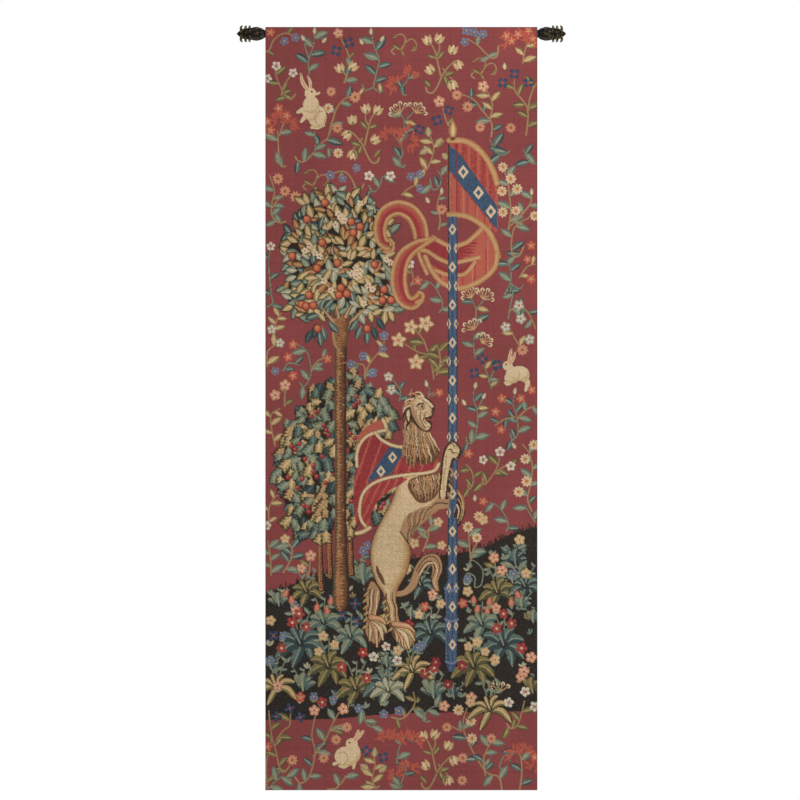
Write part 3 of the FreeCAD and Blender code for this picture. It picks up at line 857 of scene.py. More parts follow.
def lion_mane(web):
    """The mane falls in wavy locks from the jaw to the chest, over the cape and below its edge."""
    for outline in ("34.6,98 36.4,95.6 38.6,99.6 40.6,101.4 42.2,103.8 43.6,106.4 42.6,108.6 40,109.2 "
                    "37.2,109 35.6,109.6 34.6,106 34.6,102",
                    "36.4,113 39,112.2 43.2,111.6 43.6,114 43,116.8 41,118.6 38.6,119 36.9,117.4 35.6,115"):
        area(web, outline, "brown")
    locks(web, [(34.9, 97.6), (38.8, 100.4)], [(34.4, 108.4), (39.4, 108.6)], 0.022, 12)
    locks(web, [(38.6, 100.6), (41.2, 101.6)], [(39.6, 108.2), (43.4, 105.8)], 0.03, 9)
    locks(web, [(36.0, 103.0), (40.2, 104.4)], [(36.2, 109.4), (41.6, 108.4)], -0.025, 9)
    locks(web, [(36.2, 113.4), (40, 112.4)], [(37.6, 117.2), (40.4, 118.2)], -0.05, 8)
    locks(web, [(40.2, 112.4), (43.4, 111.8)], [(40.8, 118.2), (43.2, 115.4)], -0.05, 7)


def lion_head(web):
    """The head in profile: a dark outline, a face shaded in tan, and lines of brow, muzzle and cheek."""
    area(web, "35.9,93.4 37,92 38.6,91.6 40,92.4 41.3,93.3 42.3,94.6 42.4,95.4 42.1,96 41.9,97.1 40.9,97.9 "
              "41.3,98.6 41.7,99.2 41.6,100.2 40.7,101.2 39.4,101 38,100.1 36.8,98.2 36,96", "umber")
    cells, mask = area(web, "36.2,93.7 37.3,92.4 38.7,91.9 40,92.8 41.2,93.7 42,94.7 42.1,95.3 41.4,96.2 "
                            "41.5,97 40.5,97.6 40.3,98.5 41.2,99.2 41.2,100 40.4,100.9 39.5,100.7 "
                            "38.4,99.8 37.2,98 36.4,96",
                       "cream")
    shade(web, cells, mask, "straw", 0.35)
    hachure(web, cells, mask, "tan", "left", 1.7, 0.6)
    stroke(web, "38.4,92.5 39.8,93.2 41,94.2 41.8,95.2", 0.42, "cream")
    stroke(web, "39.4,93.5 40.3,94 41.2,94.9 41.6,95.6", 0.2, "brown")
    stroke(web, "38,92.9 38.9,92.8 39.6,93.4", 0.22, "tan")
    area(web, "37.9,95 38.4,94.4 39.4,94.2 40,94.6 39.6,95.3 38.8,95.5", "tan")
    stroke(web, "37.7,94.9 38.5,94.2 39.6,94.1", (0.2, 0.4, 0.3), "umber")
    disc(web, 39, 94.85, 0.42, 0.3, "ivory")
    disc(web, 39.15, 94.85, 0.26, 0.3, "night")
    stroke(web, "38.2,95.5 39,95.7 39.8,95.3", 0.18, "brown")
    disc(web, 42, 95.4, 0.36, 0.42, "umber")
    stroke(web, "41.2,95.8 41.6,96.2 41.5,96.9", 0.18, "tan")
    area(web, "39.8,97.5 40.8,97.6 41.9,97.1 41.5,97.8 41.9,98.2 41.1,98.7 40.2,98.5", "umber")
    stroke(web, "40.3,98.2 41.1,98.1 42,98.2", (0.36, 0.34, 0.26), "coral")
    stroke(web, "40.1,96.2 39.7,97.2 39.6,98.4 40.2,99.2", 0.2, "brown")
    stroke(web, "38.9,96.2 38.7,97.6 39.2,99 40,100.2", 0.26, "brown")
    stroke(web, "37.8,95.8 37.8,97.2 38.3,98.8", 0.2, "tan")
    stroke(web, "40.4,100 41,99.9", 0.18, "brown")
    for x, y in points("40.5,96.5 40.9,96.9 40.2,97"):
        disc(web, x, y, 0.12, 0.12, "brown")
    area(web, "35.9,94.9 36.4,95.8 36.6,97.6 35.9,99.5 35.1,98 34.9,96.4", "umber")
    area(web, "35.8,95.6 36.1,96.6 35.9,98.6 35.4,97.6 35.3,96.5", "cream")
    strands(web, ["36.6,93.6 36.2,92 36.6,90.5", "37.4,92.6 36,92.4 35.2,93.2", "36.6,93.8 35.2,94 34.7,95",
                  "36.2,94.6 "
                  "35,95.2 34.4,96.4", "35.4,95.4 34.6,96.8 34.3,98.2", "38,92.2 36.9,91.6 35.8,91.9",
                  "39.6,92.4 "
                  "38.6,91.3 37.4,91.4", "36.3,94.2 34.9,94.6 34.3,95.6", "35.4,97.6 34.5,98.8 34.6,100.6",
                  "37.6,93.4 36.8,94 36.6,95", "37,93 35.6,93.2 34.8,93.8", "35.8,98.8 35.3,99.8 35.4,101"],
            ("tan", "brown", "straw", "cream", "umber", "gilt", "cream"), 0.34)


def lion_paws(web):
    """The forelegs: one grips the pole high up, the other passes behind it."""
    area(web, "43.8,118.8 43.4,116.4 43.7,112.6 44.1,108 44.9,105.2 46.4,103.4 47.6,103.7 48.6,104.9 "
              "49.1,106.2 48.5,107.9 47.1,108.4 46.7,110.2 46.1,113 46.6,115 45.6,117.8 44.6,119", "umber")
    cells, mask = area(web, "44,118.2 43.8,116 44.2,112.6 44.6,108.2 45.3,105.6 46.5,103.9 47.5,104.2 "
                            "48.3,105.2 48.5,106.2 47.9,107.4 46.7,107.9 46.1,110 45.5,113 45.2,115.6 "
                            "44.9,117.8", "cream")
    shade(web, cells, mask, "straw", 0.3)
    strands(web, comb([(46, 104.2), (45.6, 106.6)], [(48.9, 105.2), (47.8, 108)], -0.12, 6),
            ("umber", "straw", "cream"), 0.22)
    stroke(web, "45.3,107 45,110 44.6,113.4 44.7,116.4", 0.22, "tan")
    strands(web, ["46.3,110.4 "
                  "46.9,111.8 45.9,113", "46.1,112.4 47,113.8 45.9,115", "46,114.4 46.8,116 45.6,117.2",
                  "45.7,116.6 46.2,117.8 44.8,118.8"], ("tan", "brown", "straw"), 0.5)
    area(web, "41,120.4 42.4,118.4 44.8,118 46,118.6 45.6,120.2 43.6,120.6 42,121.6", "tan")
    stroke(web, "41.4,120.2 43,119 45.6,119.2", 0.28, "umber")
    area(web, "47.9,115.4 49,116.8 49.9,119.2 49.9,121.8 49,124 48,125.2 47.9,123.2 47.1,122.2 47.6,120.4 "
              "48.2,118.4",
         "umber")
    strands(web, ["48.2,116.4 49.2,118.4 49.5,121.2 48.9,123.4", "48.2,118 49,119.6 49,121.8 48.2,124",
                  "47.9,119.4 48.4,121 48,123", "48,115.8 49.4,117.8 49.8,120.6"],
            ("straw", "tan", "cream", "ochre"), 0.34)


# Rabbits

def rabbit(web, body, head, ears, paws, eye):
    """A sitting rabbit: discs for its head and body, and strokes with their widths for ears and paws."""
    for grow, yarn in ((0.2, "brown"), (0.0, "cream")):
        for path, width in ears + paws:
            stroke(web, path, (width * 0.9 + grow, width + grow, width * 0.5 + grow), yarn)
        for x, y, rx, ry in [head] + body:
            disc(web, x, y, rx + grow / 2, ry + grow / 2, yarn)
    for path, width in ears:
        stroke(web, path, width * 0.3, "salmon")
    for x, y, rx, ry in body:
        cells, gx, gy = web.window(x - rx, y - ry, x + rx, y + ry)
        low = ((gx - x) / rx) ** 2 + ((gy - y) / ry) ** 2 <= 1
        low &= ((gx - x + 0.3) / rx) ** 2 + ((gy - y + 0.55) / ry) ** 2 > 1
        web.set(cells, low & (np.mod(gx * 2.2 + gy * 0.8, 1) < 0.7), "straw")
    disc(web, *eye, 0.24, 0.24, "umber")


def rabbits(web):
    rabbit(web, [(11.4, 19.4, 2.0, 2.2), (13.0, 22.4, 2.3, 2.8), (11.4, 21.0, 2.2, 2.4)],
           (11.2, 16.5, 1.45, 1.35),
           [("10.5,15.6 9.3,13.8 8.8,11.7", 1.0), ("11.3,15.3 11.2,13.8 10.6,12.3", 0.8)],
           [("10.2,20.2 9,20.8 8.0,21.3", 1.2), ("10.6,22 "
                                                 "9.6,22.8 8.9,23.7", 1.1), ("14.4,24.4 "
                                                                             "13,25 11.4,25.1", 1.1)],
           (11.6, 16.1))
    stroke(web, "14.2,21 12.6,21.6 12.4,23.4 13.4,24.4", 0.2, "tan")
    stroke(web, "12.5,16.6 13.1,16.7 13.4,16.4", 0.5, "cream")
    rabbit(web, [(63.6, 86.6, 2.3, 1.9), (61.9, 87.0, 1.8, 2.1), (64.8, 87.0, 1.3, 1.8)],
           (60.6, 84.7, 1.25, 1.15),
           [("60.9,84 61.2,82.2 61.5,80.6", 0.9), ("61.2,84.2 62,82.8 62.5,81.4", 0.9)],
           [("61.4,88 60.4,88.2 60,87.4", 0.9), ("61.8,88.6 60.6,89.2 59.9,88.8", 1.0),
            ("64.9,87.6 65.6,89 65.1,90.8", 1.3)],
           (60.2, 84.3))
    rabbit(web, [(20.2, 182.4, 2.9, 2.5), (21.8, 181.6, 2.0, 2.6)], (21.6, 179.2, 1.5, 1.35),
           [("22.2,178.4 23,177 23.2,175.8", 0.95), ("22.4,178.4 23.6,177.2 24.5,176", 0.95)],
           [("22.4,183 22.2,184.4 22,185.4", 0.9), ("20.8,184.4 19.6,185 18.4,184.8", 0.9),
            ("17.8,184 17.2,184.3 17,184.4", 0.9)],
           (21.0, 178.9))
    stroke(web, "18.4,181.6 19.8,181.4 20.6,183 19.6,184.4", 0.2, "tan")


# Where the flowers, sprays and ground plants are woven. A kind of flower is followed by its places; a bud,
# tuft or fan is its place and its direction.

UPPER_FLOWERS = """
pink 18.2,1.5 43.5,18.6 54.5,14.8
coral 1.3,1.3 60.3,2.2 63.2,1.8 65.8,0.9 61.6,3.4 66.9,2.9 3.3,20.3 5.3,22.1 0.5,23.6 1.3,25.8
ivory 2.7,9.7 6.9,11.4 0.5,12.8 25.9,37.2 31.3,37.2 1.3,54.8 36.1,59.2
blue 20.8,3.9 17.7,5.9 45.9,20.8 43,23.3 62.3,11.7 59.4,13.9 65.8,13.9 38.6,25.6 54.3,82.9 58.1,84.5
    52.3,86.5
sky 4.7,3.5 7.5,2.6 50.3,0.8 52.3,1.3 49.9,3.7 54.5,1.7 16.2,37 19.3,37.8 22.8,35.2 36.4,37.4 38.6,36.8
    38.7,40.4
salmon_daisy 16.4,16.1 22.4,17.5 18,25.2 47.9,17 50.6,19.9 53.7,25 61.4,25.2 3.1,37.9 4.9,41 7.5,42.4
    44.1,45.6
cream_daisy 15.7,20.3 18.2,31.5 59.4,35 61.4,37.9 59.2,41 63,40.5 59.4,46.3 62.7,45.9 67.4,47.2
"""
MIDDLE_FLOWERS = """
white 3.6,79 1.6,75.6 30.8,87.4 31.5,90.7 60.1,75 66.1,78.1 63.9,72.9 63.4,69.6
coral 6.9,79.4 5.6,82.5 15.5,82.9 6.9,87.2 43.5,91.4 59.2,92.9 63.9,92.9 66.6,90.7 57.6,96.2 59,100.7
    50.8,106.7 54.5,118.6 38.1,63.4 66.5,54.6 65.6,58.1 66.5,63
pink 4.9,89.5 2.4,92 11.3,132.2 9,135.3
sky 29.7,77.2 29.3,80.5 24.4,82.3 21.5,84.3 26.8,86.5 2.4,86 24.5,131 25.5,129.6
star 36.4,75 40.1,74.1 33.3,78.3 37.7,83.8
salmon_daisy 64.3,80.7
ivory 54.5,108.2 58.7,106.2 61.4,109.8 0.3,124.7
cream_daisy 67.2,104.5 65,108 65.4,113.6 63.4,116.2 50.7,125 53.4,122.4 52.9,127.7
yellow 4.9,128 43.2,123.8 37.2,129.1 44.1,129.6 54.5,123.2
"""
LOWER_FLOWERS = """
blue 19.3,144.2 22.4,144.2 19.3,147.2 22.8,148.6 2,152.2
red 8.4,146.7 6.7,148.9 10.2,150 4,155.3 24.4,156.4 25.3,162.8 59.6,146.7 57.9,150.4 61.6,149.1 64.1,155.3
    19.1,160
crimson 42.6,158.8 39.9,161.7 45.7,164.4 49.2,159.7
yellow 1.3,148.4 14.4,152.3 17.3,154.4 13.3,156.2 50.8,154.9 53,153.8 55,156.2 38.4,146.9 43.9,144.2
    50.6,141.1 63.6,128.2 65.2,136.6 51.3,168.9
coral 39.9,144.9 49.4,144.1
pink 57.2,132.7 59.2,135.8 66.5,157.6 64.7,161.2 44.7,169.8
ivory 27,157.5 30.2,154.9 33,158.4 65,166.2 60.9,168.9 67.4,169.9
sky 38,155.2 39.2,154.6 1,158.4 29.6,171.8 33.4,171 23.4,170.4
"""
FOOT_FLOWERS = """
blue 2.7,172.4 6.1,170.4 8.7,172.6 25.3,181 29.5,182.6
pink 12.2,170.9 19.5,170.5
salmon_daisy 20.4,175.1 17.7,178.2 14.6,182.8 6.7,183.3 45.4,175.1 56.5,177.9 49.4,182.8 49.2,188.4
cream_daisy 48.3,170.8 51.4,173.5 51.7,177.9
coral 0.5,180 67.4,182.6
"""

# Each spray: its stem, its leaf, how many leaves it has, their length, and its way up from its foot.
SPRAYS = """
straw olive 2 1.6  0.2,6.1 1,5.6 2.2,3 4.9,1.5 7.4,2.4
sage teal 5 2.9  10.9,11.8 10.8,8.4 12,4.4 12.2,0.6
sage sage 0 2  10.9,8 9.8,4.4 9.8,2.6
straw olive 1 1.8  21.1,8 20.2,5.4 18.4,2
sage cream 2 1.8  24.2,14.4 25,15.8 27,15.2 28.6,16.4 29.4,15.6
sage teal 6 2.9  27,15 27.6,12 28.4,8.2 27.2,4.8 26.5,0.6
straw sage 2 2.6  19.7,13.8 20.8,11.4 22,9.8
straw teal 1 2.4  20.4,12.2 19,10.8
sage teal 3 2.6  35.2,17 34.2,16.6 34.4,14.8 35.6,13.2 36,11
straw sage 3 2  58.3,4.8 58,7 56.8,7.8 55,6.4 53.2,4.6 50.4,2.8
straw cream 3 2.6  64.4,9 64.8,6.6 65.6,3.6
straw olive 5 2.4  7.5,16.8 6.2,18 4.6,16.6 3.6,14.6 2.6,12 2.6,10.4
straw olive 1 2  4,17 4.6,14.6 6.4,12
straw sage 2 2.2  3.5,27 4.4,24.4 5.4,22.4
straw teal 4 2.8  16,26.8 17,22.6 18.1,19.8 20,17.8 21.8,17.6
straw teal 5 3  7.4,32.4 8.2,33.4 9.8,33.6 12,31.4 14,29 15.6,27.6 16.4,24
sage sage 2 2.4  12.4,30.9 12.6,28.4 12.2,26.2
sage sage 1 2  15.6,30.4 18,31.4
straw olive 1 1.8  45.8,24.6 45.2,23.2 44.4,20.4
sage teal 2 2.8  34.6,27 34.7,23.6 33.6,21
sage cream 1 2.4  34.7,23.8 37.4,20.8
straw teal 5 2.6  56.5,27.4 56.6,24 54.2,20.8 52.2,18.2 49.2,16.8
straw cream 4 2.6  56.2,23 56.8,19.2 55.4,15.8
straw olive 6 2.6  65.2,27 65.7,22.6 65.2,19.4 62.5,16 62.3,13
straw olive 2 2.6  65.6,21 66.4,17 67.8,14
straw sage 2 3  5,34.8 3.8,34.6 3.3,32.1 3.2,29 3,25.9
sage teal 3 3.4  61,31 59.6,32 57.6,31 56.2,28.2
sage teal 3 2.8  67.8,34 66.6,34 65.4,32.6 64.4,30.4
sage teal 3 2.8  35,34.6 34.2,35 33.6,33.4 34.4,31.4 33.6,29 32.4,27.4
straw cream 6 2.6  39.6,34.6 40.3,35.6 41.9,31.9 42,29.4 40.9,26.6
straw olive 2 1.8  24.6,39.2 23.8,40.6 22.6,40 21.2,37.4 19.4,36 16.6,36.6
sage teal 3 2.2  25.9,39.6 27,41.2 28.6,39.8 29.2,37.6 31,36.6
straw cream 2 2.2  34.1,42 36,40.2 38.4,39.4
sage teal 3 2.8  41.2,38 41.8,40.6 43.4,40 44,37.6 43,35.8
straw sage 3 2  43.4,50.6 43.7,47.8 43,44.4 44,41
straw sage 6 2.6  5,48.6 3.4,48.9 1.6,47.2 1.6,44 2.2,41 1,37
straw sage 1 2  1.8,45 3.4,42.8 5.6,41.4
straw sage 5 2.8  60.8,50.6 61.4,46.2 61,41.6 60.6,38 59.6,36
straw sage 4 2.4  61.4,49.6 64.4,46.6 66.4,43.8 66.6,41.4
straw teal 5 2.8  64.6,55 63.4,57.2 61.8,56.8 61.6,53.2 62.6,49.8 66,47.6
sage teal 4 2.4  0.4,70 1.7,69 1.4,66.4 1,62.4 0.8,58 1.4,55.6
straw cream 4 2.2  2.2,76 2.8,73.4 3.8,71.6
sage teal 4 2.8  59.8,66.8 61.4,63.6 61.2,60 60.4,58.4
sage teal 1 2.2  61.2,64 63.4,65.4 64.6,64.4
straw cream 2 2  63.6,62.6 65.4,60 67.6,59.2
sage sage 4 2.4  43.4,71.4 44.4,69.6 43.4,66.6 41.4,64 39,63.2
straw olive 2 2.2  36.4,64.6 37,62.8 36.4,60.4
sage teal 2 2.8  52.6,74.2 52.6,70.4 51.4,67.6
sage cream 1 2.4  52.8,70.4 55.2,67.6
sage teal 1 2  62,66 61,71.6 60.8,73
straw teal 5 2.4  61,71 63.6,69.8 66,71.8 67.6,75.4
straw cream 2 2.4  63.8,80 62.4,77.8 61.6,76
sage sage 4 2.8  8.6,89 9.6,89.9 11,88 11.4,85.4 10.2,80.9 7.4,79.2
straw teal 2 2.6  11.4,85.6 13.2,83.4 15,82.8
sage teal 2 2.2  4.4,86 5.8,84 8.6,84.6
straw olive 2 1.8  4.8,94.8 4.8,92.4 5,90.6
straw cream 2 2.8  0.4,84.8 0.6,81 3.4,79
straw cream 4 2.2  24.8,88 25.6,85 27.4,82.4 29.2,80.4 29.8,78
straw teal 2 2.6  24.8,87.8 24.6,84.6 22,84.2
straw olive 3 2.8  42.1,87.9 41.6,84.6 40.4,82 38,81.2 34.8,79.2
straw olive 3 3  41,82.4 39.6,78.4 37.6,75.8
straw olive 5 3.2  42.8,87 43.8,83.4 43,79.6
sage teal 4 2.4  33.4,93.4 33.8,91.2 32,88.2
sage sage 1 1.8  40.8,92.6 41,90.6 40.4,89
coral sage 0 1.8  41,92.4 42.6,91.4
sage teal 3 2.6  52.4,82.6 52.2,80.6 52,78.8 52,76.8
sage cream 3 2.2  56.6,90.4 55.6,87 54.6,84.6
sage teal 2 2.2  55.8,88.6 57.2,86 58,85
sage teal 7 2.7  50.3,102.6 50.6,104.1 52.2,103.4 53,99.6 53,96 52,92.8 52.4,90
sage cream 1 2.2  53,95.8 54.3,93 54.4,92
sage teal 6 2.7  61.2,101.8 62,103.2 63.2,101.4 63,97.6 62,94.4 62.4,91.6
straw sage 3 2.6  63,98 65.4,95.6 67.4,94.8
straw teal 3 2.2  62.4,97.6 60,98 57.4,99.6
straw cream 5 2.4  2.4,104.6 1.6,101 1.4,97 3.6,95.4
straw olive 4 2.2  50.6,114.6 51.2,115.4 52,113.6 51.6,111 50.2,109.4
straw olive 4 2.6  54.3,112.8 54.8,114.4 56.6,112.4 58,110 58.6,107.6
straw olive 2 2.4  58,111 60,109.8 61,110
straw teal 7 2.6  66.6,121 65.6,118 66.4,114 66.8,110 66,106.6 64.4,104.4
sage teal 4 2.6  60.2,126 60.8,124.6 59.8,121.8 57.6,119.4 55,118.8
sage sage 2 2.6  67.4,123.6 66,121.4 65,119.6
straw cream 4 2.2  1,125 0.8,121 1.6,118.6 3,117
straw sage 4 2.6  39.4,131 40.6,128 40.9,125.4 42.6,124.2
straw sage 1 2.2  40.6,126 38.4,127.6 37.6,128.8
straw sage 3 3  51.4,133.4 51,129.4 50.8,126
straw sage 1 3  51.6,131.6 52.6,129.6 53,128.2
straw teal 6 3  4.4,136.4 6.2,133.4 6.6,130.4 5.2,128.4
straw sage 5 2.6  1.4,137 1.2,132.6 0.6,128.6
straw olive 2 2.2  10,139.4 10.8,136.8 11.2,133.6
straw teal 3 2.2  22.4,137.6 23.6,134.4 24.6,131.6
sage sage 0 2  49.8,138.4 50.6,136.6 52.4,137.6 52.4,140 54,139.4 54.4,136 53,134 51.6,133.2
straw olive 2 2.4  58.4,140.4 57.8,137 57.4,134
sage teal 5 3  63.6,136.4 62.2,132.6 62.4,129.6
straw olive 3 2.6  0.4,190.6 0.2,184 1.4,178 0.8,172
straw olive 6 2.6  6,184.8 4.6,186.4 3.4,184.8 2.6,181 1.6,177.6 0.8,171
straw olive 2 2.6  2.8,178.2 4.4,176 6,174.6 6.2,171.6
straw teal 6 2.8  7.2,187.2 8.6,189 10.4,188.2 11.6,185.6 12.4,181 11.6,177 12.6,171.6
straw sage 4 2.8  12,182.4 14.8,178.6 16.6,174.6 18.4,171.4
straw olive 1 2  16.6,176 18.6,174.6 20,175
sage sage 4 2.8  0.4,190.6 2.6,188.6 4.4,187.4 6.6,188.4
straw sage 3 3  15.6,190.6 17.6,190.4 19.6,188.2 20,187.2
sage sage 3 2.8  23.4,170.4 24.6,171.4 25,173.6 26.4,175 27.6,174
straw cream 6 2.6  28.4,189.8 27.4,190.2 26.8,187.4 27.4,184.6 27,181.8
straw olive 4 2.2  31.6,172.6 34,173 36,171.4 37.4,169 37,166.4
sage teal 4 2.6  34.4,189.6 33.4,190.4 34.4,187.8 35.2,185.4 35,183
sage sage 3 2.8  32.8,184 33.4,180.4 34.6,178 36,176.8
sage sage 4 2.6  41.2,173.6 39.4,173.4 40,171.6 42,170 44,169.8
sage teal 0 2.6  60.4,186 58.6,185 60,182 61.4,183.6
straw teal 7 2.8  59.2,191 58.4,187.6 55.4,186.4 52.6,182.4 50.4,178 49.4,174.4 50.4,170.4
straw teal 5 2.8  55,187 54.6,183 56,179.6 56.6,178.6
straw teal 1 2.4  49,176 46.8,175
straw olive 5 2.6  60.4,174.2 61.4,175.4 63,174.6 64,172 64.8,168.6
straw teal 4 3.2  63.6,190.8 64.2,186 63.8,182.4 62.6,180
straw sage 0 2  55.6,163.6 56.8,167.6 56.4,165.4 57.2,163.4
"""

# Ground plants: the crown, the size, the leaf, and how many leaves; with six or more the lowest ones droop.
GROUND_PLANTS = (
    (10.2, 141.2, 3.6, "olive", 6), (24.6, 139.4, 4.2, "sage", 5), (14.6, 149.0, 4.2, "sage", 6),
    (8.7, 154.2, 5.4, "teal", 7), (21.3, 152.6, 4.0, "sage", 6), (15.7, 160.0, 4.8, "olive", 7),
    (2.7, 165.2, 4.8, "cream", 6), (9.4, 166.0, 3.6, "sage", 4), (22.6, 165.6, 4.6, "olive", 6),
    (30.2, 164.2, 5.0, "teal", 6), (30.8, 166.0, 4.2, "mist", 6), (36.8, 161.0, 4.8, "cream", 6),
    (41.3, 151.6, 4.4, "teal", 6), (42.1, 167.8, 4.0, "sage", 5), (38.8, 139.6, 3.4, "teal", 6),
    (54.1, 149.4, 4.2, "sage", 6), (59.6, 154.6, 5.4, "teal", 7), (52.1, 160.0, 4.8, "olive", 7),
    (58.0, 141.4, 4.2, "olive", 6), (62.6, 134.6, 3.4, "teal", 5), (65.0, 140.0, 3.6, "teal", 6),
    (56.2, 170.8, 4.8, "cream", 6), (3.4, 144.8, 2.8, "sage", 5), (64.2, 145.6, 3.0, "sage", 5),
    (67.0, 149.0, 2.6, "sage", 5), (29.8, 146.2, 2.2, "teal", 4), (36.4, 148.0, 2.2, "sage", 4),
    (30.4, 160.0, 2.4, "sage", 5), (66.9, 166.6, 3.2, "olive", 4), (47.2, 168.0, 2.6, "teal", 4),
    (1.4, 160.6, 2.2, "sage", 4), (61.9, 139.0, 2.6, "sage", 4),
)
ORANGE_BUDS = """
12.6,145.2,80 15.5,146,95 16.1,143.6,80 4.4,141.6,60 6.7,143.4,100 52.1,143.4,90 52.8,145.6,80 55.6,146,95
55.9,143.8,85 61.6,144,95 63.6,142,110
"""
SMALL_BUDS = """
9.8,3.4,120 14.2,3.9,50 12.2,1.7,85 24.4,4.4,120 28.8,3.6,60 26.4,1.9,90 59.9,10.6,95 44.1,41.8,90
41,44,120 52.4,90.4,80 54.3,93,60 50.1,94.6,120 40.4,90,100 62.3,91.8,80 66.6,42,90 62.6,105.4,120
52.4,118.6,90
"""
LONE_TULIPS = "18.6,10.2,120 22,9.8,50 46.8,14.6,-60"
COLUMBINE = """
40.9,27.4,95 42.6,29.6,50 40.6,30.4,215 44.2,31.6,-40 27.2,182.6,85 25.8,185.6,150 28.4,186.4,40
"""
FRINGES = """
33.2,14.6,150 36.2,12.4,70 35.2,27,140 36,28.6,-20 31.2,27.4,110 61.4,3.8,130 64,3.2,80 66.2,4.4,60
3.8,23.6,110 5.4,24.6,50 30.4,178.4,100 32.2,178.4,70 35.2,178.4,80 37,178.6,50 32.8,188,120 36,185.8,70
62.8,182.2,110 64.6,181.6,70 66.8,186,60
"""
CREAM_LOOPS = "33.6,21.6,120 37.6,21.4,60 51.6,67.6,120 54.4,68,60 52.2,75.6,120 54.2,79,50 58.6,166.4,100"


def plants(web):
    for row in SPRAYS.strip().splitlines():
        kind, leaf_kind, count, length, path = row.split(maxsplit=4)
        sprig(web, path, kind, leaf_kind, int(count), float(length))
    for x, y in ((34.1, 4.4), (54.1, 10.4), (12.0, 38.3)):
        curled_tendril(web, x, y)
    for x, y, side in ((41.4, 16.4, 1), (27.2, 33.9, -1), (40.3, 190.4, 1)):
        tulip_plant(web, x, y, side)
    for x, y, direction in points(SMALL_BUDS):
        bud(web, x, y, direction)
    for x, y, direction in points(LONE_TULIPS):
        tulip(web, x, y, direction)
    for x, y, direction in points(COLUMBINE):
        bud(web, x, y, direction, 2.6, "sage", "straw")
    for x, y, direction in points(FRINGES):
        fringe(web, x, y, direction)
    for x, y, direction in points(CREAM_LOOPS):
        loops(web, x, y, direction)
    for table in (UPPER_FLOWERS, MIDDLE_FLOWERS, FOOT_FLOWERS):
        flower_table(web, table)


def flower_table(web, table):
    """Flowers written a kind at a time: its name, then its places, with further lines indented."""
    for row in table.replace("\n    ", " ").strip().splitlines():
        kind, places = row.split(maxsplit=1)
        flowers(web, kind, places)


def mound_plants(web):
    for x, y, r, kind, count in GROUND_PLANTS:
        for shift in (-1.5, 0.2, 1.7):
            path = f"{x},{y} {x + shift * 0.7:.2f},{y - r * 0.9:.2f} {x + shift * 1.5:.2f},{y - r * 1.5:.2f}"
            sprig(web, path, "sage", "sage", 2, 0.3 * r, 0.5, 0.9)
        rosette(web, x, y, 1.08 * r, kind, count, web.random.uniform(-6, 6), droop=count > 5)
    for k in range(150):
        x, y = web.random.uniform(0.8, 67.2), web.random.uniform(132, 171)
        if web.yarn[int(y / web.step[1]), int(x / web.step[0])] == YARN_INDEX["night"]:
            kind = ("teal", "sage", "olive", "mist")[k % 4]
            for turn in (60, 100, 140):
                leaf(web, kind, x, y, turn + web.random.uniform(-15, 15), web.random.uniform(1.1, 1.9))
            if k % 3 == 0:
                bloom = ("red", "yellow", "coral", "sky", "pink")[k // 3 % 5]
                flowers(web, bloom, f"{x:.2f},{y - 1.6:.2f}")
    for x, y, direction in points(ORANGE_BUDS):
        bud(web, x, y + 1.2, direction, 2.6, "coral", "salmon")
        lens(web, x, y + 1.6, direction, 1.2, 0.8, "sage")
    flower_table(web, LOWER_FLOWERS)


def picture(columns, rows):
    """The whole woven picture as a grid of yarn numbers, top row first."""
    web = Web(68.0, 190.8, columns, rows)
    grounds(web)
    plants(web)
    mound_plants(web)
    holly(web)
    tree(web)
    pennant(web)
    streamers(web)
    rabbits(web)
    lion_body(web)
    cape(web)
    lion_mane(web)
    lion_head(web)
    pole(web)
    lion_paws(web)
    return web.yarn


# Meshes

def to_linear(colour):
    c = np.asarray(colour, float) / 255
    return np.where(c <= 0.04045, c / 12.92, ((c + 0.055) / 1.055) ** 2.4)


def make_mesh(name, vertices, polygons):
    """An object from points and polygons; polygons is a list of index arrays, one row per polygon."""
    mesh = bpy.data.meshes.new(name)
    vertices = np.asarray(vertices, np.float32)
    blocks = [np.asarray(p, np.int32) for p in polygons]
    loops = np.concatenate([b.ravel() for b in blocks])
    sizes = np.concatenate([np.full(len(b), b.shape[1]) for b in blocks])
    mesh.vertices.add(len(vertices))
    mesh.vertices.foreach_set("co", vertices.ravel())
    mesh.loops.add(len(loops))
    mesh.loops.foreach_set("vertex_index", loops)
    mesh.polygons.add(len(sizes))
    mesh.polygons.foreach_set("loop_start", np.concatenate([[0], np.cumsum(sizes)[:-1]]).astype(np.int32))
    mesh.update(calc_edges=True)
    mesh.validate()
    mesh.polygons.foreach_set("use_smooth", np.ones(len(mesh.polygons), bool))
    obj = bpy.data.objects.new(name, mesh)
    bpy.context.scene.collection.objects.link(obj)
    return obj


def grid_faces(rows, columns, start=0, flip=False):
    """Quads over a grid of points numbered row by row."""
    index = np.arange(rows * columns).reshape(rows, columns) + start
    a, b, c, d = index[:-1, :-1], index[1:, :-1], index[1:, 1:], index[:-1, 1:]
    corners = (a, d, c, b) if flip else (a, b, c, d)
    return np.stack([k.ravel() for k in corners], axis=1)


def perimeter(rows, columns):
    """The grid's outer points in order: along the top, down the right, along the bottom, up the left."""
    index = np.arange(rows * columns).reshape(rows, columns)
    return np.concatenate([index[0, :-1], index[:-1, -1], index[-1, :0:-1], index[:0:-1, 0]])


def ring_faces(first, second):
    """Quads between two closed rings of points."""
    return np.stack([first, np.roll(first, -1), np.roll(second, -1), second], axis=1)


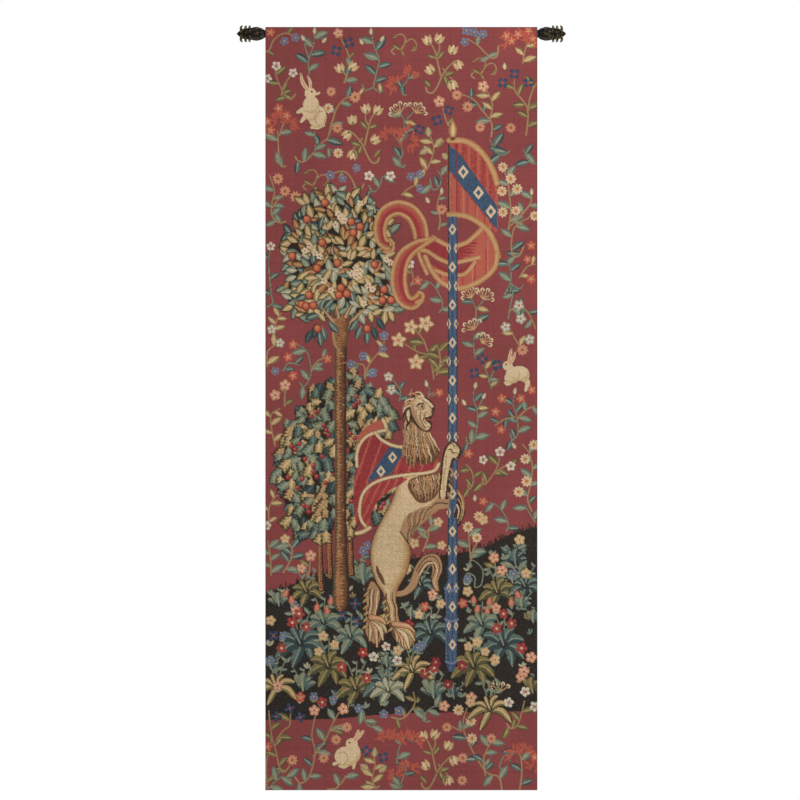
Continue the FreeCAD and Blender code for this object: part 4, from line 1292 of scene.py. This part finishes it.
def hang(x, z):
    """How far the cloth stands off its flat plane, towards the viewer, at a place."""
    drop = np.clip((PANEL_HIGH.z - z) / PANEL_HEIGHT, 0, 1)
    grow = np.clip(drop * 6, 0, 1) * (0.45 + 0.55 * drop)
    folds = 0.5 * np.sin(x * 2 * math.pi / 0.31 + 0.7 + 0.9 * drop)
    folds += 0.28 * np.sin(x * 2 * math.pi / 0.173 + 2.1 - 1.6 * drop)
    folds += 0.22 * np.sin(z * 2 * math.pi / 0.62 + x * 5.1)
    return WAVE * grow * folds


def add_colour(obj, name, colours):
    attribute = obj.data.color_attributes.new(name, "FLOAT_COLOR", "POINT")
    data = np.ones((len(obj.data.vertices), 4), np.float32)
    data[:, :3] = colours
    attribute.data.foreach_set("color", data.ravel())


def add_value(obj, name, values):
    attribute = obj.data.attributes.new(name, "FLOAT", "POINT")
    attribute.data.foreach_set("value", np.asarray(values, np.float32))


# Cloth

def woven_colours(rng):
    """The picture's colours at each point of the front, with the small unevenness of dyed yarn."""
    yarn = picture(WEAVE_COLUMNS, WEAVE_ROWS)
    palette = to_linear(np.array(list(YARN.values())))
    colour = palette[yarn]
    rows, columns = yarn.shape
    uneven = rng.normal(1, 0.05, (rows, columns))
    uneven = uneven * rng.normal(1, 0.03, (rows, 1)) * rng.normal(1, 0.03, (1, columns))
    return colour * uneven[..., None]


def tapestry():
    """The woven panel: the picture's fine grid in front, a rounded rim, and a plain coarse back."""
    rng = np.random.default_rng(3)
    rows, columns = WEAVE_ROWS, WEAVE_COLUMNS
    radius = (PANEL_HIGH.y - PANEL_LOW.y) / 2
    x = np.linspace(PANEL_LOW.x + radius, PANEL_HIGH.x - radius, columns)
    z = np.linspace(PANEL_HIGH.z - radius, PANEL_LOW.z + radius, rows)
    gx, gz = np.meshgrid(x, z)
    front = np.stack([gx, np.full_like(gx, PANEL_LOW.y), gz], axis=-1).reshape(-1, 3)
    colour = woven_colours(rng).reshape(-1, 3)
    edge = perimeter(rows, columns)
    outward = np.zeros((len(edge), 3))
    outward[:, 0] = np.sign(np.round(front[edge, 0] / (PANEL_WIDTH / 2 - radius), 6).astype(int))
    top, bottom = front[edge, 2] > z[0] - 1e-6, front[edge, 2] < z[-1] + 1e-6
    outward[:, 2] = top.astype(float) - bottom.astype(float)
    points_list, colours, polygons = [front], [colour], [grid_faces(rows, columns)]
    ring = edge
    count = len(front)
    for step in (1, 2, 3, 4):
        angle = math.pi * step / 4
        loop = front[edge] + outward * radius * math.sin(angle)
        loop[:, 1] += radius * (1 - math.cos(angle))
        index = np.arange(count, count + len(edge))
        points_list.append(loop)
        colours.append(colour[edge])
        polygons.append(ring_faces(index, ring))
        ring = index
        count += len(edge)
    back_points, back_polygons = coarse_back(x, z, ring, count)
    points_list.append(back_points)
    colours.append(np.tile(to_linear(YARN["rose"]), (len(back_points), 1)))
    vertices = np.vstack(points_list)
    vertices[:, 1] -= hang(vertices[:, 0], vertices[:, 2])
    obj = make_mesh("tapestry_panel_cloth", vertices, polygons + back_polygons)
    add_colour(obj, "woven", np.vstack(colours))
    lay_out(obj, vertices)
    return obj


def coarse_back(x, z, ring, start):
    """The back's inner points, and its large faces; those at the edge take in the rim's own points."""
    step = BACK_STEP
    columns, rows = (len(x) - 1) // step + 1, (len(z) - 1) // step + 1
    across, down = len(x) - 1, len(z) - 1
    node = np.full((rows, columns), -1)
    node[0, :] = ring[np.arange(columns) * step]
    node[:, -1] = ring[(across + np.arange(rows) * step) % len(ring)]
    node[-1, ::-1] = ring[(across + down + np.arange(columns) * step) % len(ring)]
    node[::-1, 0] = ring[(2 * across + down + np.arange(rows) * step) % len(ring)]
    inner = np.arange((rows - 2) * (columns - 2)).reshape(rows - 2, columns - 2) + start
    node[1:-1, 1:-1] = inner
    gx, gz = np.meshgrid(x[::step][1:-1], z[::step][1:-1])
    inner_points = np.stack([gx, np.full_like(gx, PANEL_HIGH.y), gz], axis=-1).reshape(-1, 3)
    a, b, c, d = node[1:-2, 1:-2], node[1:-2, 2:-1], node[2:-1, 2:-1], node[2:-1, 1:-2]
    faces = [np.stack([k.ravel() for k in (a, b, c, d)], axis=1)]
    where = {int(v): i for i, v in enumerate(ring)}

    def run(p, q):
        """The rim's points from one node to the next, without the last."""
        if p in where and q in where:
            i, j = where[p], where[q]
            forward = (j - i) % len(ring)
            if forward == step:
                return [int(ring[(i + k) % len(ring)]) for k in range(step)]
            if forward == len(ring) - step:
                return [int(ring[(i - k) % len(ring)]) for k in range(step)]
        return [p]

    for j in range(rows - 1):
        for i in range(columns - 1):
            if 0 < j < rows - 2 and 0 < i < columns - 2:
                continue
            corners = [int(v) for v in (node[j, i], node[j, i + 1], node[j + 1, i + 1], node[j + 1, i])]
            loop = [v for p, q in zip(corners, corners[1:] + corners[:1]) for v in run(p, q)]
            faces.append(np.array([loop]))
    return inner_points, faces


def lay_out(obj, vertices):
    """The bake's map: the front and rim fill most of it, and the back takes a strip beside them."""
    mesh = obj.data
    loops = np.zeros(len(mesh.loops), np.int32)
    mesh.loops.foreach_get("vertex_index", loops)
    normals = np.zeros(len(mesh.polygons) * 3, np.float32)
    mesh.polygons.foreach_get("normal", normals)
    sizes = np.zeros(len(mesh.polygons), np.int32)
    mesh.polygons.foreach_get("loop_total", sizes)
    behind = np.repeat(normals.reshape(-1, 3)[:, 1] > 0.7, sizes)
    u = (vertices[loops, 0] - PANEL_LOW.x) / PANEL_WIDTH
    v = (vertices[loops, 2] - PANEL_LOW.z) / PANEL_HEIGHT
    u = np.where(behind, 0.955 + 0.04 * u, 0.005 + 0.93 * u)
    v = 0.005 + 0.99 * v
    layer = mesh.uv_layers.new(name="OFBake")
    layer.data.foreach_set("uv", np.stack([u, v], axis=1).astype(np.float32).ravel())


def two_sides(rows, columns, start=0):
    """The faces of a closed sheet: two grids of points, numbered one after the other, and the rim between."""
    count = rows * columns
    rim = perimeter(rows, columns) + start
    return [grid_faces(rows, columns, start), grid_faces(rows, columns, start + count, flip=True),
            ring_faces(rim + count, rim)]


def lining():
    """Cotton lining that follows the hang of the panel, a little slack between its slip stitches."""
    columns, rows = 110, 300
    phases = np.random.default_rng(11).uniform(0, 2 * math.pi, 6)

    def puff(x, z):
        sides = [x - LINING_LOW.x, LINING_HIGH.x - x, z - LINING_LOW.z, LINING_HIGH.z - z]
        inset = np.minimum.reduce(sides)
        below = np.clip((SLEEVE_LOW.z - 4 * MM - z) / 0.05, 0, 1)
        soft = np.clip(inset / 0.03, 0, 1) * below * below * (3 - 2 * below)
        ripple = sum(np.sin((x * k * 9.7 + z * (7 - k) * 4.3) + phases[k]) * 0.3 for k in range(1, 5))
        pucker = np.sin((x + z) * 2 * math.pi / 0.024) * np.exp(-inset / 0.008) * 0.5
        return (soft * (1.1 + ripple) * 0.7 + 0.12 * pucker) * MM

    gx, gz = np.meshgrid(np.linspace(LINING_LOW.x, LINING_HIGH.x, columns),
                         np.linspace(LINING_HIGH.z, LINING_LOW.z, rows))
    front = np.stack([gx, np.full_like(gx, LINING_LOW.y), gz], axis=-1).reshape(-1, 3)
    back = front.copy()
    back[:, 1] = LINING_HIGH.y
    back[:, 1] += puff(back[:, 0], back[:, 2])
    vertices = np.vstack([front, back])
    vertices[:, 1] -= hang(vertices[:, 0], vertices[:, 2])
    return make_mesh("lining_cloth", vertices, two_sides(rows, columns))


SLEEVE_STEPS = 22         # points round the rod, and again from the rod down to the lower seam


def sleeve_line():
    """The sleeve's section about the rod's axis, from its upper edge over the rod to its foot."""
    wall = SLEEVE_WALL / 2
    flat = SLEEVE_LOW.y - ROD_Y + wall
    round_rod = SLEEVE_HIGH.y - ROD_Y - wall
    top, foot = SLEEVE_HIGH.z - ROD_Z, SLEEVE_LOW.z - ROD_Z
    seam = foot + 6 * MM
    line = [
        (flat, top), (flat, top - 1.2 * MM), (flat + 0.5 * MM, round_rod + 0.5 * MM),
        (flat * 0.6, round_rod + 0.1 * MM), (0.0, round_rod),
    ]
    leave = math.atan2(seam, flat) + math.acos(round_rod / math.hypot(flat, seam))
    arc = np.linspace(math.pi / 2, leave, SLEEVE_STEPS)[1:]
    line += [(round_rod * math.cos(a), round_rod * math.sin(a)) for a in arc]
    y, z = line[-1]
    line += [(y + (flat - y) * k, z + (seam - z) * k) for k in np.linspace(0, 1, SLEEVE_STEPS)[1:]]
    line += [(flat, seam - 3 * MM), (flat, foot)]
    return np.array(line)


def sleeve():
    """A closed tube of cotton for the rod, a little too full, so that it ripples between its two seams."""
    rng = np.random.default_rng(17)
    line = sleeve_line()
    run = np.gradient(line, axis=0)
    run /= np.linalg.norm(run, axis=1)[:, None]
    normal = np.stack([-run[:, 1], run[:, 0]], axis=1)
    length = np.concatenate([[0], np.cumsum(np.linalg.norm(np.diff(line, axis=0), axis=1))])
    part = length / length[-1]
    x = np.linspace(SLEEVE_LOW.x, SLEEVE_HIGH.x, 297)
    inset = np.minimum(x - x[0], x[-1] - x)
    fullness = np.zeros(len(x))
    for pitch in (0.041, 0.027, 0.0175, 0.011):
        fullness += np.sin(x * 2 * math.pi / pitch + rng.uniform(0, 2 * math.pi)) * pitch
    fullness = 0.5 + 0.5 * fullness / np.abs(fullness).max()
    slack = np.sin(math.pi * np.clip((part - 0.42) / 0.5, 0, 1)) ** 1.5
    pucker = np.exp(-((part - 0.06) / 0.03) ** 2) * 0.25
    puff = (slack[:, None] * (0.4 + 2.6 * fullness[None, :]) + pucker[:, None] * fullness[None, :]) * MM
    hem = np.clip((9 * MM - inset) / (1 * MM), 0, 1) * np.clip(inset / (0.5 * MM), 0.3, 1)
    sides = []
    for out in (-1, 1):
        wall = SLEEVE_WALL * (0.5 + 0.35 * hem * (out > 0))
        away = puff + out * wall[None, :]
        y = ROD_Y + line[:, :1] + normal[:, :1] * away
        z = ROD_Z + line[:, 1:] + normal[:, 1:] * away
        sides.append(np.stack([np.broadcast_to(x, y.shape), y, z], axis=-1).reshape(-1, 3))
    return make_mesh("rod_sleeve_cloth", np.vstack(sides), two_sides(len(line), len(x)))


def stitches(name, path, pitch, length, radius, slant):
    """A row of thread stitches along a path of points; slant turns each one across the row."""
    vertices, quads = [], []
    sides = 6
    for a, b in zip(path, path[1:]):
        a, b = Vector(a), Vector(b)
        run = b - a
        along = run.normalized()
        out = Vector((0, 1, 0))
        across = along.cross(out)
        for k in range(int(run.length / pitch)):
            centre = a + along * (k + 0.5) * pitch
            centre.y -= float(hang(centre.x, centre.z))
            lie = (along * math.cos(slant) + across * math.sin(slant)).normalized()
            side = lie.cross(out)
            start = len(vertices)
            for t, thick, lift in ((-0.5, 0.45, -0.6), (-0.25, 1, 0.5), (0.25, 1, 0.5), (0.5, 0.45, -0.6)):
                middle = centre + lie * length * t + out * radius * lift
                for s in range(sides):
                    angle = 2 * math.pi * s / sides
                    around = side * math.cos(angle) + out * math.sin(angle)
                    vertices.append(middle + around * radius * thick)
            for r in range(3):
                for s in range(sides):
                    p, q = start + r * sides + s, start + r * sides + (s + 1) % sides
                    quads.append((p, q, q + sides, p + sides))
            for cap in (range(sides), range(3 * sides, 4 * sides)):
                ring = [start + c for c in cap]
                ring = ring[::-1] if cap.start == 0 else ring
                quads.append((ring[0], ring[1], ring[2], ring[3]))
                quads.append((ring[0], ring[3], ring[4], ring[5]))
    return dress(make_mesh(name, vertices, [np.array(quads)]), THREAD, "hanging")


def lining_edge(inset):
    """The slip stitches' way round the lining, this far inside its edge."""
    x0, x1 = LINING_LOW.x + inset, LINING_HIGH.x - inset
    z0, z1 = LINING_LOW.z + inset, LINING_HIGH.z - inset
    y = LINING_HIGH.y + 0.2 * MM
    return [(x0, y, z0), (x1, y, z0), (x1, y, z1), (x0, y, z1), (x0, y, z0)]


def sleeve_seam(name, z):
    y = LINING_HIGH.y + 0.9 * MM
    return stitches(name, [(SLEEVE_LOW.x, y, z), (SLEEVE_HIGH.x, y, z)], 4 * MM, 3 * MM, 0.3 * MM, 0.0)


# Finials

FINIAL_LENGTH = 67.0      # millimetres from the ring to the point
FINIAL_PROFILE = (
    (0.0, 8.8), (2.5, 9.4), (5.5, 12.2), (9.5, 14.4), (13.5, 13.6), (17.5, 11.6), (21.0, 10.8), (26.0, 11.4),
    (31.0, 10.6), (37.0, 9.4), (44.0, 8.6), (51.0, 8.0), (56.0, 8.4), (60.0, 7.0), (64.0, 3.6), (66.0, 1.4),
    (67.0, 0.2),
)
# Rings of leaves from the tube outwards: where the leaf starts and where it turns, how high it lies
# there, the radius of the turn, how far round it turns, how many leaves, and their width.
FINIAL_LEAVES = (
    (0.5, 13.0, 13.6, 2.2, 120, 8, 11.0),
    (12.0, 30.0, 12.0, 4.4, 150, 6, 14.0),
    (22.0, 39.5, 10.6, 4.9, 158, 6, 13.0),
    (32.0, 50.5, 9.4, 5.3, 165, 6, 12.0),
)


def core_radius(u):
    """The core's radius at a distance along the finial, both in millimetres."""
    return float(np.interp(u, [p[0] for p in FINIAL_PROFILE], [p[1] for p in FINIAL_PROFILE]))


def leaf_line(root, turn_at, height, radius, sweep, t):
    """A leaf's middle line in distance and height: it lies along the core, then curls out and back."""
    lie = 0.55
    if t < lie:
        k = t / lie
        u = root + (turn_at - root) * k
        start = core_radius(root) + 0.3
        r = start + (height - start) * k + 1.1 * math.sin(math.pi * k)
        rise = height - start + 1.1 * math.pi * math.cos(math.pi * k)
        return u, r, math.atan(rise / (turn_at - root))
    turn = math.radians(sweep) * (t - lie) / (1 - lie)
    return turn_at + radius * math.sin(turn), height + radius * (1 - math.cos(turn)), turn


def acanthus_leaf(root, turn_at, height, radius, sweep, width, place):
    """One cast leaf as a closed shell with notched edges, a raised rib, and a curled tip."""
    along, across = 27, 11
    grid = np.zeros((2, along, across, 3))
    edge = np.zeros((2, along, across))
    for i in range(along):
        t = i / (along - 1)
        u, r, heading = leaf_line(root, turn_at, height, radius, sweep, t)
        notch = 1 - 0.26 * (0.5 + 0.5 * math.cos(2 * math.pi * 4.5 * t)) * math.sin(math.pi * t)
        spread = 0.62 + 0.5 * math.sin(math.pi * min(t * 1.25, 1))
        half = 0.5 * width * notch * spread * (1 - 0.8 * t**6) + 0.6
        thick = 2.3 * (1 - 0.5 * t**4)
        for j in range(across):
            s = 2 * j / (across - 1) - 1
            cup = -2.4 * s * s * (0.35 + 0.65 * math.sin(math.pi * t))
            rib = 0.75 * math.exp(-(s / 0.16) ** 2) + 0.35 * math.cos(3 * math.pi * s) * (1 - abs(s))
            for side, out in ((0, thick + rib), (1, -thick)):
                h = cup + out
                uu = u - h * math.sin(heading)
                rr = max(r + h * math.cos(heading), 0.3)
                angle = place + half * s / max(r, 4.0)
                grid[side, i, j] = (uu, -rr * math.cos(angle), rr * math.sin(angle))
            rim = max(0.0, abs(s) - 0.6) / 0.4
            tip = max(0.0, t - 0.7) / 0.3
            ridge = math.exp(-(s / 0.2) ** 2) * 0.55
            edge[0, i, j] = min(1.0, 0.8 * rim + 0.7 * tip + ridge)
            edge[1, i, j] = 0.6 * tip
    return grid, edge


def finial_shell():
    """The casting's points from the ring outwards, in millimetres, with their faces and their wear."""
    turns = 64
    u_values = np.linspace(0, FINIAL_LENGTH, 68)
    core = []
    worn = []
    for u in u_values:
        for k in range(turns):
            a = 2 * math.pi * k / turns
            gadroon = 0.9 * abs(math.cos(4 * a)) * math.exp(-((u - 9.5) / 6) ** 2)
            bud = 0.8 * abs(math.cos(3 * a)) * math.exp(-((u - 57) / 5) ** 2)
            flute = 0.3 * math.cos(12 * a) * math.exp(-((u - 34) / 12) ** 2)
            r = core_radius(u) + gadroon + bud + flute
            core.append((u, -r * math.cos(a), r * math.sin(a)))
            worn.append(0.25 * gadroon + 0.5 * bud + (0.25 if u > 62 else 0.0))
    index = np.arange(len(core)).reshape(len(u_values), turns)
    polygons = [ring_faces(first, second) for first, second in zip(index, index[1:])]
    base, point = len(core), len(core) + 1
    near, far = index[0], index[-1]
    polygons.append(np.stack([np.full(turns, base), np.roll(near, -1), near], axis=1))
    polygons.append(np.stack([np.full(turns, point), far, np.roll(far, -1)], axis=1))
    vertices = [np.array(core), np.array([[0.0, 0.0, 0.0], [FINIAL_LENGTH + 0.1, 0.0, 0.0]])]
    wear = [np.array(worn), np.array([0.0, 0.5])]
    count = len(core) + 2
    for ring, (root, turn_at, height, radius, sweep, leaves, width) in enumerate(FINIAL_LEAVES):
        for k in range(leaves):
            place = 2 * math.pi * (k + 0.25 + 0.25 * (ring % 2)) / leaves
            grid, edge = acanthus_leaf(root, turn_at, height, radius, sweep, width, place)
            polygons += two_sides(*edge.shape[1:], count)
            vertices.append(grid.reshape(-1, 3))
            wear.append(edge.reshape(-1))
            count += edge.size
    return np.vstack(vertices), polygons, np.concatenate(wear)


def finial(name, side):
    """A cast acanthus bud on the rod's end: a turned core under rings of leaves whose tips curl back."""
    low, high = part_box(f"finial_ring_{name}")
    start = high.x if side > 0 else low.x
    vertices, polygons, wear = finial_shell()
    vertices = vertices * MM
    vertices[:, 0] = start + side * vertices[:, 0]
    vertices[:, 1] += ROD_Y
    vertices[:, 2] += ROD_Z
    if side < 0:
        polygons = [p[:, ::-1] for p in polygons]
    obj = make_mesh(f"acanthus_finial_{name}", vertices, polygons)
    add_value(obj, "wear", wear)
    smoothing = obj.modifiers.new("smooth", "SUBSURF")
    smoothing.levels = 1
    smoothing.render_levels = 1
    dress(obj, BRONZE, f"finial_{name}")
    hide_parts(f"finial_casting_{name}")


# Materials

class Nodes:
    """A short way to write a node material."""

    def __init__(self, name):
        self.material = bpy.data.materials.new(name)
        self.material.use_nodes = True
        self.tree = self.material.node_tree
        self.shader = self.tree.nodes["Principled BSDF"]

    def add(self, kind, **values):
        node = self.tree.nodes.new(kind)
        for key, value in values.items():
            if hasattr(node, key):
                setattr(node, key, value)
            else:
                node.inputs[key].default_value = value
        return node

    def link(self, source, target):
        self.tree.links.new(source, target)

    def math(self, operation, a, b=0.0):
        node = self.add("ShaderNodeMath", operation=operation)
        for socket, value in zip(node.inputs, (a, b)):
            if isinstance(value, (int, float)):
                socket.default_value = value
            else:
                self.link(value, socket)
        return node.outputs[0]

    def noise(self, scale, detail=3.0):
        node = self.add("ShaderNodeTexNoise", Scale=scale, Detail=detail)
        self.link(self.add("ShaderNodeTexCoord").outputs["Object"], node.inputs["Vector"])
        return node.outputs["Fac"]

    def ramp(self, factor, *stops):
        node = self.add("ShaderNodeValToRGB")
        elements = node.color_ramp.elements
        while len(elements) < len(stops):
            elements.new(0.5)
        for element, (position, colour) in zip(elements, stops):
            element.position = position
            element.color = (*colour, 1)
        self.link(factor, node.inputs["Fac"])
        return node.outputs["Color"]

    def mix(self, factor, a, b, blend="MIX"):
        node = self.add("ShaderNodeMix", data_type="RGBA", blend_type=blend)
        for socket, value in ((node.inputs[0], factor), (node.inputs[6], a), (node.inputs[7], b)):
            if isinstance(value, (int, float, tuple)):
                socket.default_value = (*value, 1) if isinstance(value, tuple) else value
            else:
                self.link(value, socket)
        return node.outputs[2]

    def spread(self, factor, low, high, start=0.0, end=1.0):
        """A value moved from the range start to end into the range low to high."""
        node = self.add("ShaderNodeMapRange")
        self.link(factor, node.inputs["Value"])
        for socket, value in (("From Min", start), ("From Max", end), ("To Min", low), ("To Max", high)):
            node.inputs[socket].default_value = value
        return node.outputs["Result"]

    def finish(self, colour, roughness):
        self.link(colour, self.shader.inputs["Base Color"])
        self.link(roughness, self.shader.inputs["Roughness"])

    def bump(self, height, distance, strength):
        node = self.add("ShaderNodeBump", Distance=distance, Strength=strength)
        self.link(height, node.inputs["Height"])
        self.link(node.outputs["Normal"], self.shader.inputs["Normal"])

    def weave(self, pitch):
        """The waves of a weave's warp and weft with this pitch, over X and Z."""
        place = self.add("ShaderNodeSeparateXYZ")
        self.link(self.add("ShaderNodeTexCoord").outputs["Object"], place.inputs[0])
        k = 2 * math.pi / pitch
        warp = self.math("SINE", self.math("MULTIPLY", place.outputs["X"], k))
        weft = self.math("SINE", self.math("MULTIPLY", place.outputs["Z"], k))
        return warp, weft


def woven_material():
    """Ribbed tapestry weave: the yarn's own colour, a fine rib across it, and a dry, hairy surface."""
    n = Nodes("woven_tapestry")
    colour = n.add("ShaderNodeAttribute", attribute_name="woven").outputs["Color"]
    warp, weft = n.weave(2.2 * MM)
    rib = n.math("MULTIPLY", n.math("ADD", warp, n.math("MULTIPLY", weft, 0.6)), 0.5)
    cast = n.noise(5.0, 4.0)
    shade = n.ramp(cast, (0.3, (0.9, 0.9, 0.9)), (0.7, (1.08, 1.07, 1.06)))
    lit = n.mix(1.0, colour, shade, "MULTIPLY")
    fleck = n.ramp(n.noise(900.0, 2.0), (0.35, (0.82, 0.82, 0.82)), (0.65, (1.12, 1.12, 1.12)))
    n.finish(n.mix(0.8, lit, n.mix(1.0, lit, fleck, "MULTIPLY")), n.spread(cast, 0.82, 0.96))
    n.shader.inputs["Sheen Weight"].default_value = 0.05
    n.shader.inputs["Sheen Roughness"].default_value = 0.6
    n.shader.inputs["Specular IOR Level"].default_value = 0.08
    height = n.math("ADD", rib, n.math("MULTIPLY", n.noise(700.0, 3.0), 0.8))
    n.bump(height, 0.25 * MM, 0.8)
    return n.material


def cotton_material(name, colour, pitch):
    """Plain cotton: a fine even grain, broad faint shading and a crossed weave."""
    n = Nodes(name)
    warp, weft = n.weave(pitch)
    fine, broad = n.math("MULTIPLY", n.noise(900.0, 3.0), 0.7), n.math("MULTIPLY", n.noise(9.0, 3.0), 0.3)
    grain = n.math("ADD", fine, broad)
    dark = tuple(0.86 * c for c in colour)
    pale = tuple(min(1.0, 1.06 * c) for c in colour)
    n.finish(n.ramp(grain, (0.3, dark), (0.7, pale)), n.spread(n.noise(40.0), 0.84, 0.95))
    n.shader.inputs["Specular IOR Level"].default_value = 0.15
    height = n.math("ADD", n.math("MULTIPLY", warp, weft), n.noise(60.0, 4.0))
    n.bump(height, 0.12 * MM, 0.7)
    return n.material


def enamel_material():
    """Painted steel: near-even black with faint mottling, wear in its gloss and a fine orange peel."""
    n = Nodes("black_enamel")
    black = n.ramp(n.noise(220.0, 4.0), (0.35, (0.012, 0.012, 0.012)), (0.75, (0.03, 0.028, 0.026)))
    n.finish(black, n.spread(n.noise(70.0, 5.0), 0.3, 0.45))
    n.bump(n.noise(900.0, 2.0), 0.03 * MM, 0.6)
    return n.material


def zinc_material():
    """Zinc-plated steel with a patchy grey and a patchy gloss."""
    n = Nodes("zinc_steel")
    n.shader.inputs["Metallic"].default_value = 1.0
    grey = n.ramp(n.noise(500.0, 5.0), (0.3, (0.42, 0.43, 0.45)), (0.7, (0.62, 0.62, 0.63)))
    n.finish(grey, n.spread(n.noise(250.0, 5.0), 0.24, 0.42))
    n.bump(n.noise(1500.0, 2.0), 0.01 * MM, 0.5)
    return n.material


def bronze_material(name="dark_bronze", wear=True):
    """Glossy black paint on a casting, with gold metal rubbed through along the leaf edges and tips."""
    n = Nodes(name)
    base = n.ramp(n.noise(260.0, 5.0), (0.3, (0.002, 0.002, 0.002)), (0.55, (0.004, 0.007, 0.005)),
                  (0.8, (0.016, 0.014, 0.007)))
    n.shader.inputs["Specular IOR Level"].default_value = 0.16
    if wear:
        worn = n.add("ShaderNodeAttribute", attribute_name="wear").outputs["Fac"]
        patchy = n.math("MULTIPLY", worn, n.math("ADD", n.noise(420.0, 5.0), 0.35))
        bare = n.spread(patchy, 0.0, 1.0, 0.36, 0.7)
        base = n.mix(bare, base, (0.3, 0.19, 0.045))
        n.link(n.math("MULTIPLY", bare, 0.8), n.shader.inputs["Metallic"])
    n.finish(base, n.spread(n.noise(150.0, 4.0), 0.16, 0.34))
    n.bump(n.noise(500.0, 4.0), 0.06 * MM, 0.7)
    return n.material


def dress(obj, material, body=None):
    obj.data.materials.clear()
    obj.data.materials.append(material)
    if body:
        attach(obj, body)
    return obj


# Assembly

WOVEN = woven_material()
LINING_COTTON = cotton_material("lining_cotton", (0.52, 0.43, 0.31), 1.6 * MM)
SLEEVE_COTTON = cotton_material("sleeve_cotton", (0.46, 0.38, 0.27), 1.2 * MM)
THREAD = cotton_material("thread", (0.6, 0.5, 0.36), 0.5 * MM)
BLACK = enamel_material()
ZINC = zinc_material()
BRONZE = bronze_material()
PLAIN_BRONZE = bronze_material("plain_bronze", wear=False)

panel = tapestry()
dress(panel, WOVEN, "hanging")
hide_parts("tapestry_panel")

lining_cloth = lining()
dress(lining_cloth, LINING_COTTON, "hanging")
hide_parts("lining")

sleeve_cloth = sleeve()
dress(sleeve_cloth, SLEEVE_COTTON, "hanging")
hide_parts("rod_sleeve")

slip = stitches("lining_slip_stitches", lining_edge(1.2 * MM), 9 * MM, 5 * MM, 0.35 * MM, 0.9)
top_seam = sleeve_seam("sleeve_top_seam", SLEEVE_HIGH.z - 1.6 * MM)
low_seam = sleeve_seam("sleeve_low_seam", SLEEVE_LOW.z + 3 * MM)

for name, side in (("left", -1), ("right", 1)):
    finial(name, side)
    dress(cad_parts[f"finial_ring_{name}"], PLAIN_BRONZE)
    dress(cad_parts[f"clamp_screw_{name}"], PLAIN_BRONZE)
    for node in ("finial_spigot", "grub_screw"):
        dress(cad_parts[f"{node}_{name}"], ZINC)
    for node in ("wall_plate", "bracket_post", "rod_cradle"):
        dress(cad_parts[f"{node}_{name}"], BLACK)
dress(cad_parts["rod_tube"], BLACK)


# Studio

LIGHTS = (                # x, y, height above the cloth's middle, size, power
    (1.9, -2.0, 1.3, 1.5, 53),
    (-2.4, -3.2, 0.8, 2.6, 4),
    (0.6, 2.6, 1.2, 2.2, 24),
)


def studio():
    """A pale floor, a soft key light, two fills, and a level camera square to the cloth."""
    bpy.ops.mesh.primitive_plane_add(size=8, location=(0, -0.5, PANEL_LOW.z - 0.25))
    floor = bpy.context.object
    floor.name = "studio_floor"
    n = Nodes("pale_floor")
    pale = n.ramp(n.noise(3.0), (0.3, (0.86, 0.86, 0.86)), (0.7, (0.9, 0.9, 0.9)))
    n.link(pale, n.shader.inputs["Base Color"])
    n.shader.inputs["Roughness"].default_value = 0.8
    floor.data.materials.append(n.material)
    centre_z = (PANEL_LOW.z + PANEL_HIGH.z) / 2
    aim = Vector((0, -0.05, centre_z))
    for x, y, above, size, power in LIGHTS:
        light = bpy.data.lights.new("soft_light", "AREA")
        light.size = size
        light.energy = power
        lamp = bpy.data.objects.new("soft_light", light)
        lamp.location = (x, y, centre_z + above)
        lamp.rotation_euler = (aim - lamp.location).to_track_quat("-Z", "Y").to_euler()
        bpy.context.scene.collection.objects.link(lamp)
    world = bpy.data.worlds.new("studio")
    world.use_nodes = True
    tree = world.node_tree
    surround = tree.nodes["Background"]
    surround.inputs["Color"].default_value = (1, 1, 1, 1)
    surround.inputs["Strength"].default_value = 0.52
    backdrop = tree.nodes.new("ShaderNodeBackground")
    backdrop.inputs["Color"].default_value = (1, 1, 1, 1)
    seen = tree.nodes.new("ShaderNodeLightPath")
    choose = tree.nodes.new("ShaderNodeMixShader")
    tree.links.new(seen.outputs["Is Camera Ray"], choose.inputs["Fac"])
    tree.links.new(surround.outputs["Background"], choose.inputs[1])
    tree.links.new(backdrop.outputs["Background"], choose.inputs[2])
    tree.links.new(choose.outputs["Shader"], tree.nodes["World Output"].inputs["Surface"])
    bpy.context.scene.world = world
    bpy.context.scene.view_settings.view_transform = "Standard"
    camera = bpy.data.cameras.new("camera")
    camera.type = "ORTHO"
    camera.ortho_scale = 2.0
    viewer = bpy.data.objects.new("camera", camera)
    viewer.location = (-0.0034, -6.0, PANEL_HIGH.z - 0.9325)
    viewer.rotation_euler = (math.pi / 2, 0, 0)
    camera.clip_end = 50
    bpy.context.scene.collection.objects.link(viewer)
    bpy.context.scene.camera = viewer


studio()
bpy.context.view_layer.update()
